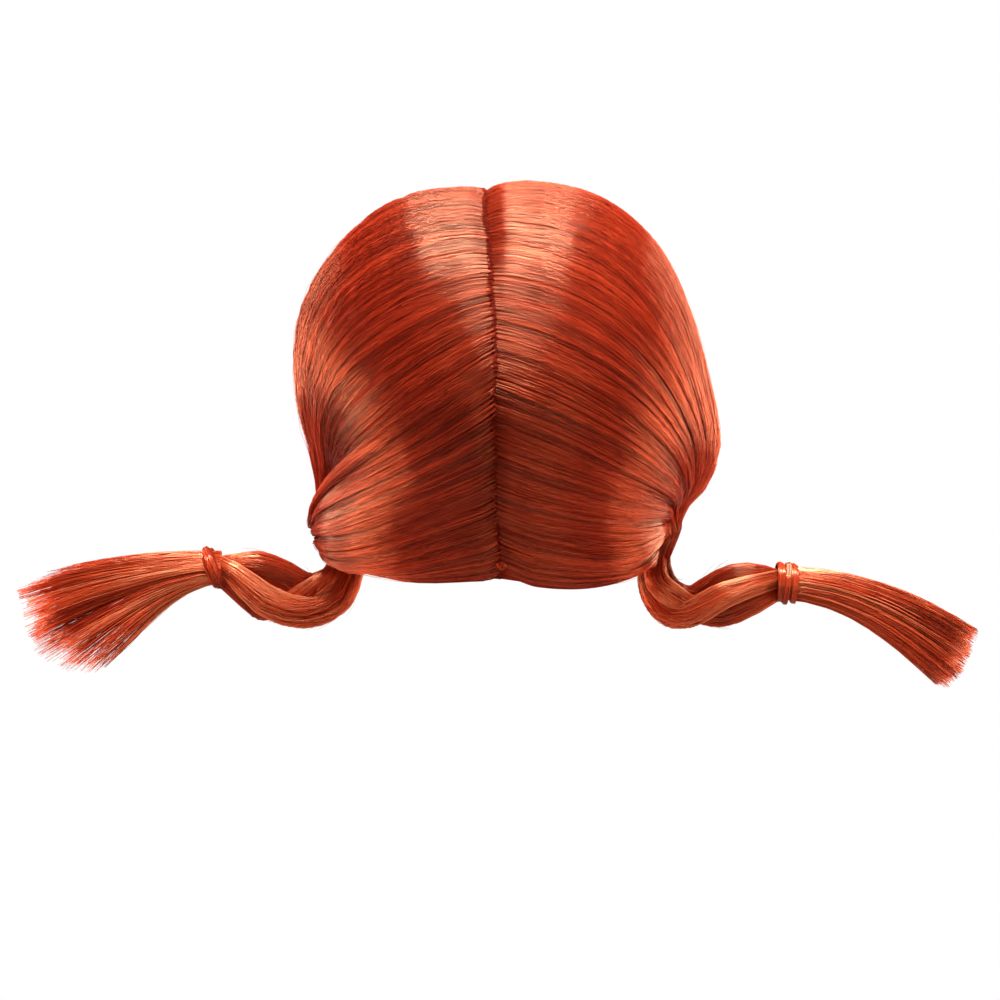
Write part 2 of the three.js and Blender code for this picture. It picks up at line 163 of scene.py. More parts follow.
class FormRow(NamedTuple):
    """Distances from the form's centre to the hair, at a tilt from straight up."""

    tilt: float
    left: float
    right: float
    back: float
    front: float


class PartingRow(NamedTuple):
    """How far the parting lies aside, at an angle from straight ahead over the crown."""

    angle: float
    offset: float


class FlowRow(NamedTuple):
    """Where a lock bends, its waist and its end round the bunch, for its start along the parting."""

    along: float
    swing: float
    rise: float
    wrap: float
    fall: float
    turn: float


class Dip(NamedTuple):
    """How far the hair sinks beside the parting, and the share of its length that it sinks over."""

    depth: float
    reach: float


class Bunch(NamedTuple):
    """The mouth that a side's hair is drawn to, and the middle of the plait just below it."""

    x: float
    y: float
    z: float
    radius: float
    wall: float
    lean: float
    plait_x: float
    plait_y: float


class StrandRow(NamedTuple):
    """A point on the middle line of a plait's strand and half the strand's width there."""

    x: float
    y: float
    z: float
    wide: float


class TuftRow(NamedTuple):
    """A lock of the loose end: how steeply it drops and how far it reaches."""

    drop: float
    reach: float


class Ripple(NamedTuple):
    """One of the waves that the combed parting strays by."""

    height: float
    rate: float
    start: float


class Sway(NamedTuple):
    """How far a fibre or a lock sways, and how often on its way."""

    size: float
    turns: float


class Winding(NamedTuple):
    """A lock wound round a tie: its first and last turn, its bulk past the tie's and its climb."""

    first: float
    last: float
    bulk: float
    climb: float


class Locks(NamedTuple):
    """How a swath's fibres are shared out among small locks."""

    count: int  # locks in the swath
    own: Array  # each fibre's own place across the swath
    number: Array  # each fibre's lock
    aim: Array  # the middle of that lock
    stray: Array  # 1 for a fibre that strays and 0 for any other
    phases: Array  # where each lock's three waves start


class Course(NamedTuple):
    """Where fibres' rings lie: across the swath, along the parting and on the way to the bunch."""

    share: Array
    along: Array
    travel: Array


@dataclass(frozen=True)
class HairForm:
    """The outside of the hair as distances from a point inside its hollow."""

    wall: float = 8
    least_wall: float = 0.8
    rim_wall: float = 3.5
    rim_share: float = 0.07
    root_start: float = 0.85
    power_top: float = 2
    power_side: float = 2.25
    side_tilt: float = 60
    seam_width: float = 2.6
    seam_depth: float = 4.6
    lock_depth: float = 2.1
    ripples: tuple[Ripple, ...] = (Ripple(0.6, 19, 1), Ripple(0.4, 47, 0), Ripple(0.2, 113, 2))
    zigzag_reach: float = 0.4
    zigzag_turns: int = 168
    zigzag_rise: Span = (0.5, 0.62)
    centre: tuple[float, float, float] = (0, 0, -85)
    rows: tuple[FormRow, ...] = (
        FormRow(0, 92.5, 92.5, 92.5, 92.5),
        FormRow(15, 92, 95, 93.5, 93),
        FormRow(30, 97, 97.5, 96.5, 95),
        FormRow(50, 98.5, 97, 101.5, 98),
        FormRow(70, 99, 94.5, 107, 100),
        FormRow(90, 96, 96.5, 109.5, 99),
        FormRow(108, 95.2, 105.5, 108, 97),
        FormRow(118, 96.5, 106, 106.5, 96),
        FormRow(124, 105, 103.5, 106, 96),
        FormRow(130, 115, 105.5, 107, 96),
        FormRow(138, 118, 118, 112, 96),
        FormRow(148, 106, 119, 118, 96),
    )
    parting: tuple[PartingRow, ...] = (
        PartingRow(19, -7),
        PartingRow(90, -8.5),
        PartingRow(150, -4.5),
        PartingRow(235.5, -1),
    )

    def radius(self, directions: Array) -> Array:
        """Measures the form.

        Args:
            directions: Unit vectors from the form's centre.

        Returns:
            The distance to the hair's outer surface along each.
        """
        x, y, z = np.moveaxis(directions, -1, 0)
        tilt = np.degrees(np.arccos(np.clip(z, -1, 1)))
        level = np.maximum(np.hypot(x, y), 1e-9)
        read = {name: SmoothTable.column(self.rows, "tilt", name).at(tilt) for name in FormRow._fields[1:]}
        across = np.where(x < 0, read["left"], read["right"])
        deep = np.where(y < 0, read["back"], read["front"])
        power = blend(self.power_top, self.power_side, smoothstep(tilt, 0, self.side_tilt))
        outline = (np.abs(x) / level / across) ** power + (np.abs(y) / level / deep) ** power
        return outline ** (-1 / power)

    def parting_direction(self, along: Array, aside: Array | float) -> Array:
        """Aims from the form's centre at the parting.

        Args:
            along: Places along the parting, 0 at the forehead and 1 at the nape.
            aside: Distance to the wearer's right of the parting.

        Returns:
            Unit vectors.
        """
        angle = blend(self.parting[0].angle, self.parting[-1].angle, along)
        offset = SmoothTable.column(self.parting, "angle", "offset").at(angle) + aside
        turn = np.radians(angle)
        ahead = np.stack([np.zeros_like(turn), np.cos(turn), np.sin(turn)], axis=-1)
        ahead[..., 0] = offset / self.radius(ahead)
        return unit(ahead)

    def parting_point(self, along: Array, aside: Array | float, depth: Array | float) -> Array:
        """Gives points at a depth under the form, beside the parting."""
        direction = self.parting_direction(along, aside)
        return np.array(self.centre) + direction * (self.radius(direction) - depth)[..., None]

    def wander(self, along: Array) -> Array:
        """Says how far the combed parting strays from its line."""
        return sum(ripple.height * np.sin(ripple.rate * along + ripple.start) for ripple in self.ripples)

    def zigzag(self, along: Array) -> Array:
        """Says how far single locks start aside, left and right by turns, down the back."""
        grown = self.zigzag_reach * smoothstep(along, *self.zigzag_rise)
        return grown * np.sin(2 * np.pi * self.zigzag_turns * along)

    def rim_thinning(self, from_rim: Array) -> Array:
        """Says how much thinner the hair is near a rim, by its share of the parting from it."""
        return (self.wall - self.rim_wall) * (1 - smoothstep(from_rim, 0, self.rim_share))


FORM = HairForm()


@dataclass(frozen=True)
class SideFlow:
    """How one side's hair runs from the parting to its bunch."""

    side: Side
    split: float
    overlap: float
    dip: Dip
    front_locks: int
    back_locks: int
    bunch: Bunch
    rows: tuple[FlowRow, ...]
    pull: float = 1.3
    hold: float = 2
    back_lift: float = 0.5
    form: HairForm = FORM

    SPLIT_GAP = 0.0015  # from the split to the nearest lock, as a share of the parting
    COMB_RISE = (0.05, 0.6)  # travel over which the grooves between locks deepen
    LAP_RISE = (0.3, 0.6)  # travel over which the swaths come to overlap
    FRONT_LAP = (0.5, 1)  # stretch of the front swath that sinks under the back one
    BACK_LAP = (0, 0.3)  # stretch of the back swath that is raised over the front one

    def mouth(self, turn: Array, radius: Array | float) -> Array:
        """Goes round the bunch's mouth.

        Args:
            turn: Angles from outwards (0) towards the back (a right angle), in radians.
            radius: The mouth's radius.

        Returns:
            Points in millimetres.
        """
        out = self.side.value * radius * np.cos(turn)
        x = self.bunch.x + out
        y = self.bunch.y - radius * np.sin(turn)
        return np.stack([x, y, self.bunch.z + out * self.bunch.lean], axis=-1)

    def aimed(self, around: Array, raised: Array) -> Array:
        """Aims from the form's centre.

        Args:
            around: Angles from outwards round towards the back, in radians.
            raised: Angles up from level, in radians.

        Returns:
            Unit vectors.
        """
        level = np.cos(raised)
        out = self.side.value * level * np.cos(around)
        return np.stack([out, -level * np.sin(around), np.sin(raised)], axis=-1)

    def points(self, along: Array, travel: Array, aside: Array, mouth: Array | float, depth: Array) -> Array:
        """Follows locks over the form.

        Args:
            along: Where each lock starts along the parting.
            travel: How far it has gone, 0 at the parting and 1 at the bunch.
            aside: How far from the middle of the parting it starts.
            mouth: Radius of the bunch's mouth for it.
            depth: How deep it lies under the form.

        Returns:
            Points in millimetres.
        """
        swing, rise, wrap, fall, turn = (
            np.radians(SmoothTable.column(self.rows, "along", name).at(along)) for name in FlowRow._fields[1:]
        )
        start = self.form.parting_direction(along, self.side.value * aside)
        bend = self.aimed(swing, rise)
        waist = self.aimed(wrap, fall)
        centre = np.array(self.form.centre)
        end = self.mouth(turn, mouth) - centre
        t = np.broadcast_to(travel, np.shape(along))[..., None]
        rest = 1 - t
        early = rest**3 * start + 3 * self.pull * rest**2 * t * bend
        late = 3 * self.hold * rest * t**2 * waist + t**3 * unit(end)
        direction = unit(early + late)
        settled = smoothstep(t[..., 0], self.form.root_start, 1)
        reach = blend(self.form.radius(direction) - depth, np.linalg.norm(end, axis=-1), settled)
        return centre + direction * reach[..., None]

    def span(self, swath: Swath) -> tuple[float, float]:
        """Finds the stretch of the parting that a swath's locks start from.

        Args:
            swath: The swath.

        Returns:
            Its two ends along the parting, the one nearer the forehead first.
        """
        if swath is Swath.FRONT:
            return 0, self.split - self.SPLIT_GAP
        return self.split + self.SPLIT_GAP, 1

    def groove(self, swath: Swath, share: Array) -> Array:
        """Says how near a place across a swath is to the groove between two locks, from 0 to 1."""
        locks = self.front_locks if swath is Swath.FRONT else self.back_locks
        return 1 - np.abs(np.cos(np.pi * locks * share))

    def outer_depth(self, swath: Swath, along: Array, share: Array, travel: Array) -> Array:
        """Says how deep a swath's surface lies under the form.

        Args:
            swath: The swath.
            along: Place along the parting.
            share: Place across the swath.
            travel: Place from the parting to the bunch.

        Returns:
            Depths: thin at a rim, low at the parting, grooved between locks and lapped at the split.
        """
        if swath is Swath.FRONT:
            thin = self.form.rim_thinning(along)
            lapping = smoothstep(share, *self.FRONT_LAP)
        else:
            thin = self.form.rim_thinning(1 - along)
            lapping = self.back_lift * (smoothstep(share, *self.BACK_LAP) - 1)
        dip = self.dip.depth * (1 - smoothstep(travel, 0, self.dip.reach))
        comb = self.form.lock_depth * self.groove(swath, share) * smoothstep(travel, *self.COMB_RISE)
        return thin + dip + comb + self.overlap * lapping * smoothstep(travel, *self.LAP_RISE)


LEFT_FLOW = SideFlow(
    side=Side.LEFT,
    split=0.715,
    overlap=3.4,
    dip=Dip(1.8, 0.05),
    front_locks=7,
    back_locks=5,
    bunch=Bunch(-70, 14, -163, 11, 2.4, -0.3, -75, 6.5),
    rows=(
        FlowRow(0, -35, 20, -15, -25, -115),
        FlowRow(0.35, 0, 15, 3, -25, -95),
        FlowRow(0.5, 20, 26, 10, -27, -85),
        FlowRow(0.6, 38, 15, 12, -27, -70),
        FlowRow(0.715, 60, -13, 11, -29, -40),
        FlowRow(0.85, 59, -32, 5, -36, 0),
        FlowRow(1, 58, -48.5, 7, -46, 50),
    ),
)
RIGHT_FLOW = SideFlow(
    side=Side.RIGHT,
    split=0.36,
    overlap=2.2,
    dip=Dip(3.6, 0.09),
    front_locks=4,
    back_locks=8,
    bunch=Bunch(73, -17, -161, 10.2, 2.4, 0.3, 72, -18),
    rows=(
        FlowRow(0, -35, 20, -10, -30, -95),
        FlowRow(0.33, 2, 12, 0, -34, -40),
        FlowRow(0.5, 24, 22, 10, -32, -15),
        FlowRow(0.6, 40, 13, 14, -32, 5),
        FlowRow(0.8, 60, -19, 15, -33, 35),
        FlowRow(0.92, 54, -39, 15, -38, 70),
        FlowRow(1, 47, -51.5, 20, -48, 130),
    ),
)


class Signal:
    """A shader socket that takes part in Python sums."""

    def __init__(self, shader: "Shader", socket: bpy.types.NodeSocket) -> None:
        """Wraps an output socket of a shader's node."""
        self.shader = shader
        self.socket = socket

    def _sum(self, operation: str, first: "Signal | float", second: "Signal | float") -> "Signal":
        """Adds a Math node for two values."""
        return self.shader.node("ShaderNodeMath", {"operation": operation}, {0: first, 1: second})

    def __add__(self, other: "Signal | float") -> "Signal":
        """Adds."""
        return self._sum("ADD", self, other)

    __radd__ = __add__

    def __sub__(self, other: "Signal | float") -> "Signal":
        """Takes away."""
        return self._sum("SUBTRACT", self, other)

    def __rsub__(self, other: float) -> "Signal":
        """Is taken away from a number."""
        return self._sum("SUBTRACT", other, self)

    def __mul__(self, other: "Signal | float") -> "Signal":
        """Multiplies."""
        return self._sum("MULTIPLY", self, other)

    __rmul__ = __mul__


class Shader:
    """The nodes of a material or a world, each added by its type, settings and sockets."""

    DARK_STOP = 0.3
    LIGHT_STOP = 0.7

    def __init__(self, owner: bpy.types.Material | bpy.types.World) -> None:
        """Starts with no nodes.

        Args:
            owner: The material or world that the nodes are for.
        """
        self.owner = owner
        owner.use_nodes = True
        self.tree = owner.node_tree
        self.tree.nodes.clear()

    def node(
        self,
        kind: str,
        settings: dict[str, object] | None = None,
        sockets: dict[str | int, object] | None = None,
        output: str | int = 0,
    ) -> Signal:
        """Adds a node.

        Args:
            kind: The node's type.
            settings: Its own settings, set first. stops holds a colour ramp's stops.
            sockets: Values or signals for its inputs, by name or place.
            output: The output to hand back.

        Returns:
            That output as a signal.
        """
        made = self.tree.nodes.new(kind)
        for key, value in (settings or {}).items():
            if key == "stops":
                self._set_stops(made.color_ramp, value)
            else:
                setattr(made, key, value)
        for key, value in (sockets or {}).items():
            if isinstance(value, Signal):
                self.tree.links.new(value.socket, made.inputs[key])
            else:
                made.inputs[key].default_value = value
        return Signal(self, made.outputs[output] if made.outputs else None)

    @staticmethod
    def _set_stops(ramp: bpy.types.ColorRamp, stops: Sequence[tuple[float, Colour]]) -> None:
        """Sets a colour ramp.

        Args:
            ramp: A ramp with its first two stops.
            stops: The places and colours that it gets.
        """
        while len(ramp.elements) < len(stops):
            ramp.elements.new(1)
        for element, (place, colour) in zip(ramp.elements, stops):
            element.position = place
            element.color = (*colour, 1)

    def attribute(self, name: str) -> Signal:
        """Reads a number that the mesh carries."""
        return self.node("ShaderNodeAttribute", {"attribute_name": name}, output="Fac")

    def place(self, scale: tuple[float, float, float], uv: bool = False) -> Signal:
        """Gives Object coordinates or the UV map, stretched by a scale."""
        where = self.node("ShaderNodeTexCoord", output="UV" if uv else "Object")
        return self.node("ShaderNodeMapping", sockets={"Vector": where, "Scale": scale})

    def noise(self, vector: Signal, scale: float, detail: float = 2) -> Signal:
        """Adds a noise from 0 to 1."""
        sockets = {"Vector": vector, "Scale": scale, "Detail": detail}
        return self.node("ShaderNodeTexNoise", sockets=sockets, output="Fac")

    def ramp(self, factor: Signal, stops: Sequence[tuple[float, Colour]]) -> Signal:
        """Turns a value into a colour."""
        return self.node("ShaderNodeValToRGB", {"stops": stops}, {"Fac": factor}, "Color")

    def tones(self, factor: Signal, dark: Colour, light: Colour) -> Signal:
        """Turns a noise into two colours that run into each other."""
        return self.ramp(factor, ((self.DARK_STOP, dark), (self.LIGHT_STOP, light)))

    def bump(self, height: Signal, depth: float) -> Signal:
        """Turns a height into a normal, for a relief of a depth in millimetres."""
        sockets = {"Height": height, "Distance": depth * MM}
        return self.node("ShaderNodeBump", sockets=sockets, output="Normal")

    def finish(self, sockets: dict[str | int, object]) -> bpy.types.Material:
        """Ends a material with a Principled shader.

        Args:
            sockets: Values or signals for its inputs, by name.

        Returns:
            The finished material.
        """
        surface = self.node("ShaderNodeBsdfPrincipled", sockets=sockets)
        self.node("ShaderNodeOutputMaterial", sockets={"Surface": surface})
        return self.owner


@dataclass(frozen=True)
class FibreFinish:
    """Glossy copper fibre, each a little lighter or darker than the next."""

    name: str = "copper_fibre"
    dark: Colour = (0.2, 0.01, 0.0035)
    middle: Colour = (0.5, 0.038, 0.011)
    light: Colour = (0.7, 0.095, 0.028)
    # The pale colour is reached by the plait strands' painted highlight as well as by the palest tuft locks.
    pale: Colour = (0.85, 0.25, 0.115)
    stops: tuple[float, ...] = (0.08, 0.4, 0.76, 1)
    tint_share: float = 0.8
    streak_share: float = 0.16
    streaks: float = 60
    gloss: Colour = (1, 0.8, 0.45)
    specular: float = 1
    sheen: float = 0.2
    refraction: float = 1.55
    roughness: float = 0.17
    roughness_spread: float = 0.12

    def material(self) -> bpy.types.Material:
        """Makes the material, which reads the fibres' tint: their own tone with painted shade and highlight
        added.

        Returns:
            The new material.
        """
        shader = Shader(bpy.data.materials.new(self.name))
        tint = shader.attribute("tint")
        streak = shader.noise(shader.place((self.streaks, self.streaks, self.streaks)), 1)
        shade = tint * self.tint_share + (streak - 0.5) * self.streak_share
        colours = (self.dark, self.middle, self.light, self.pale)
        return shader.finish(
            {
                "Base Color": shader.ramp(shade, tuple(zip(self.stops, colours))),
                "Roughness": streak * self.roughness_spread + self.roughness,
                "Metallic": self.sheen,
                "IOR": self.refraction,
                "Specular IOR Level": self.specular,
                "Specular Tint": (*self.gloss, 1),
            }
        )


@dataclass(frozen=True)
class BedFinish:
    """Packed hair under the fibres, dark and streaked the way that it is combed."""

    name: str = "packed_hair"
    dark: Colour = (0.14, 0.008, 0.003)
    light: Colour = (0.42, 0.034, 0.01)
    gloss: Colour = (1, 0.45, 0.25)
    streaks: float = 800
    breaks: float = 4
    detail: float = 3
    relief: float = 0.5
    specular: float = 0.15
    roughness: float = 0.5

    def material(self) -> bpy.types.Material:
        """Makes the material, with streaks along the sheet's own V.

        Returns:
            The new material.
        """
        shader = Shader(bpy.data.materials.new(self.name))
        streak = shader.noise(shader.place((self.streaks, self.breaks, 1), uv=True), 1, self.detail)
        return shader.finish(
            {
                "Base Color": shader.tones(streak, self.dark, self.light),
                "Roughness": self.roughness,
                "Specular IOR Level": self.specular,
                "Specular Tint": (*self.gloss, 1),
                "Normal": shader.bump(streak, self.relief),
            }
        )


@dataclass(frozen=True)
class CapFinish:
    """The inside of the cap: rows of sewn wefts on a dark net."""

    name: str = "weft_cap"
    net: Colour = (0.05, 0.012, 0.008)
    weft: Colour = (0.22, 0.035, 0.016)
    stops: Span = (0.25, 0.75)
    row_height: float = 7
    row_share: float = 0.7
    wander: float = 4
    wander_scale: float = 0.03
    strand_share: float = 0.4
    strand_scale: float = 1.2
    strand_detail: float = 3
    relief: float = 0.8
    roughness: float = 0.75

    def material(self) -> bpy.types.Material:
        """Makes the material, with level rows that wander a little.

        Returns:
            The new material.
        """
        shader = Shader(bpy.data.materials.new(self.name))
        place = shader.place(PER_MM)
        wander = shader.noise(place, self.wander_scale)
        level = shader.node("ShaderNodeSeparateXYZ", sockets={"Vector": place}, output="Z")
        turns = (level + wander * self.wander) * (2 * math.pi / self.row_height)
        row = shader.node("ShaderNodeMath", {"operation": "SINE"}, {0: turns}) * 0.5 + 0.5
        strand = shader.noise(place, self.strand_scale, self.strand_detail)
        mix = row * self.row_share + strand * self.strand_share
        colour = shader.ramp(mix, tuple(zip(self.stops, (self.net, self.weft))))
        normal = shader.bump(mix, self.relief)
        return shader.finish({"Base Color": colour, "Roughness": self.roughness, "Normal": normal})


@dataclass(frozen=True)
class MottledFinish:
    """A dull surface with a fine uneven mottling."""

    name: str
    dark: Colour
    light: Colour
    grain: float
    detail: float
    relief: float
    specular: float
    roughness: float

    def material(self) -> bpy.types.Material:
        """Makes the material, with the mottling in its colour and its relief.

        Returns:
            The new material.
        """
        shader = Shader(bpy.data.materials.new(self.name))
        mottle = shader.noise(shader.place(PER_MM), self.grain, self.detail)
        return shader.finish(
            {
                "Base Color": shader.tones(mottle, self.dark, self.light),
                "Roughness": self.roughness,
                "Specular IOR Level": self.specular,
                "Normal": shader.bump(mottle, self.relief),
            }
        )


SEAM_FINISH = MottledFinish(
    name="parting_strip",
    dark=(0.06, 0.004, 0.002),
    light=(0.2, 0.014, 0.005),
    grain=0.9,
    detail=3,
    relief=0.4,
    specular=0.1,
    roughness=0.8,
)
ELASTIC_FINISH = MottledFinish(
    name="tan_elastic",
    dark=(0.27, 0.1, 0.045),
    light=(0.56, 0.3, 0.15),
    grain=1.4,
    detail=1,
    relief=0.3,
    specular=0.5,
    roughness=0.55,
)


@dataclass(frozen=True)
class FloorFinish:
    """A pale studio floor."""

    name: str = "pale_floor"
    colour: Colour = (0.15, 0.15, 0.15)
    glow: float = 1

    def material(self) -> bpy.types.Material:
        """Makes the material, seen as near white and lighting the wig as a plain grey surface does.

        Returns:
            The new material.
        """
        shader = Shader(bpy.data.materials.new(self.name))
        seen = shader.node("ShaderNodeLightPath", output="Is Camera Ray")
        paint = shader.node("ShaderNodeBsdfDiffuse", sockets={"Color": (*self.colour, 1)})
        white = shader.node("ShaderNodeEmission", sockets={"Strength": self.glow})
        surface = shader.node("ShaderNodeMixShader", sockets={0: seen, 1: paint, 2: white})
        shader.node("ShaderNodeOutputMaterial", sockets={"Surface": surface})
        return shader.owner


@dataclass
class Wardrobe:
    """The wig's materials, each made once."""

    fibre: bpy.types.Material
    bed: bpy.types.Material
    cap: bpy.types.Material
    seam: bpy.types.Material
    elastic: bpy.types.Material

    @classmethod
    def fitted(cls) -> "Wardrobe":
        """Makes every material."""
        finishes = (FibreFinish(), BedFinish(), CapFinish(), SEAM_FINISH, ELASTIC_FINISH)
        return cls(*(finish.material() for finish in finishes))


def triangle_count(piece: bpy.types.Object) -> int:
    """Counts a mesh piece's triangles."""
    return sum(len(face.vertices) - 2 for face in piece.data.polygons)


def settle(piece: bpy.types.Object, node: str, slot: Slot, *materials: bpy.types.Material) -> None:
    """Dresses a finished piece and hands it to the frame.

    Args:
        piece: The piece, in place.
        node: The solid that it stands for.
        slot: The record's finish for the piece; not used.
        materials: Its materials, with the one for its outside first.
    """
    for material in materials:
        piece.data.materials.append(material)
    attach(piece, BODY)
    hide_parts(node)
    LOG.info("%s: %d triangles", piece.name, triangle_count(piece))


@dataclass
class FibreBundle:
    """Fibres as arrays, each a path with the way that its ridge faces, and a tint for it or for its rings."""

    paths: Array
    ridges: Array
    half_widths: Array
    tints: Array

    RIDGE_HEIGHT = 0.9  # a ridge's height for half of its width

    def corners(self) -> Array:
        """Works out the fibres' corners.

        Returns:
            Points by fibre, ring and corner: two corners at the base and one on the ridge.
        """
        tangents = unit(np.gradient(self.paths, axis=1))
        sideways = unit(np.cross(tangents, self.ridges))
        outwards = np.cross(sideways, tangents)
        wide = self.half_widths[..., None]
        top = self.paths + outwards * wide * self.RIDGE_HEIGHT
        return np.stack([self.paths - sideways * wide, self.paths + sideways * wide, top], axis=2)

    def triangles(self, first: int) -> Array:
        """Lists the closed faces of all fibres.

        Args:
            first: Number of the bundle's first vertex.

        Returns:
            Rows of three vertex numbers, facing out.
        """
        fibres, rings = self.paths.shape[:2]
        number = first + np.arange(fibres * rings * 3).reshape(fibres, rings, 3)
        ahead = np.roll(number, -1, axis=2)
        low, low_ahead = number[:, :-1], ahead[:, :-1]
        high, high_ahead = number[:, 1:], ahead[:, 1:]
        sides = [np.stack([low, high, high_ahead], axis=-1), np.stack([low, high_ahead, low_ahead], axis=-1)]
        ends = [number[:, 0], number[:, -1, ::-1]]
        return np.concatenate([face.reshape(-1, 3) for face in (*sides, *ends)])


def fibre_piece(name: str, bundles: Sequence[FibreBundle]) -> bpy.types.Object:
    """Joins bundles of fibres into one mesh, written from arrays because the fibres are many and small.

    Args:
        name: The piece's name.
        bundles: Its fibres.

    Returns:
        The new object, at the origin, with each fibre's tint on its vertices.
    """
    corners, triangles, tints, first = [], [], [], 0
    for bundle in bundles:
        made = bundle.corners()
        corners.append(made.reshape(-1, 3))
        triangles.append(bundle.triangles(first))
        fibres, rings = made.shape[:2]
        shades = np.broadcast_to(bundle.tints.reshape(fibres, -1), (fibres, rings))
        tints.append(np.repeat(shades, made.shape[2]))
        first += made.size // 3
    vertices = (np.concatenate(corners) * MM).astype(np.float32)
    faces = np.concatenate(triangles).astype(np.int32)
    mesh = bpy.data.meshes.new(name)
    mesh.vertices.add(len(vertices))
    mesh.vertices.foreach_set("co", vertices.ravel())
    mesh.loops.add(faces.size)
    mesh.loops.foreach_set("vertex_index", faces.ravel())
    mesh.polygons.add(len(faces))
    mesh.polygons.foreach_set("loop_start", np.arange(0, faces.size, 3, dtype=np.int32))
    mesh.update(calc_edges=True)
    mesh.shade_smooth()
    # The tint holds each fibre's own tone with painted shade and highlight added.
    layer = mesh.attributes.new("tint", "FLOAT", "POINT")
    layer.data.foreach_set("value", np.concatenate(tints).astype(np.float32))
    piece = bpy.data.objects.new(name, mesh)
    bpy.context.collection.objects.link(piece)
    return piece


def grid_sheet(name: str, points: Array) -> bpy.types.Object:
    """Lays a grid primitive out over rows of points.

    Args:
        name: The piece's name.
        points: Rows by columns of points in millimetres.

    Returns:
        The new object, an open sheet with the grid's own UV map.
    """
    rows, columns = points.shape[:2]
    bpy.ops.object.select_all(action="DESELECT")
    bpy.ops.mesh.primitive_grid_add(x_subdivisions=columns - 1, y_subdivisions=rows - 1, size=1)
    sheet = bpy.context.object
    sheet.name = name
    sheet.data.vertices.foreach_set("co", (points * MM).astype(np.float32).ravel())
    sheet.data.update()
    sheet.data.shade_smooth()
    return sheet


def walled_sheet(name: str, outer: Array, inner: Array) -> bpy.types.Object:
    """Makes a closed wall between two faces.

    Args:
        name: The piece's name.
        outer: The outer face's rows by columns of points in millimetres.
        inner: The inner face's points in the same order.

    Returns:
        The new object, whose inner face takes its second material.
    """
    sheet = grid_sheet(name, outer)
    outside = len(sheet.data.vertices)
    wall = sheet.modifiers.new("wall", "SOLIDIFY")
    wall.thickness = MM
    wall.offset = -1
    wall.material_offset = 1
    bpy.ops.object.modifier_apply(modifier=wall.name)
    places = np.empty(len(sheet.data.vertices) * 3, np.float32)
    sheet.data.vertices.foreach_get("co", places)
    places[3 * outside :] = (inner * MM).ravel()
    sheet.data.vertices.foreach_set("co", places)
    sheet.data.update()
    return sheet


def closed_tube(name: str, points: Array) -> bpy.types.Object:
    """Makes a tube from a rolled-up sheet, with its edges merged and its open ends filled.

    Args:
        name: The piece's name.
        points: Rows by columns of points in millimetres, the last column over the first.

    Returns:
        The new object.
    """
    tube = grid_sheet(name, points)
    bpy.ops.object.mode_set(mode="EDIT")
    bpy.ops.mesh.select_all(action="SELECT")
    bpy.ops.mesh.remove_doubles(threshold=MERGE_REACH * MM)
    bpy.ops.mesh.fill_holes(sides=0)
    bpy.ops.mesh.normals_make_consistent(inside=False)
    bpy.ops.object.mode_set(mode="OBJECT")
    tube.data.update()
    return tube


def with_end(rings: Array, end: Array) -> Array:
    """Adds one more ring to the end of fibres."""
    return np.concatenate([rings, end], axis=1)


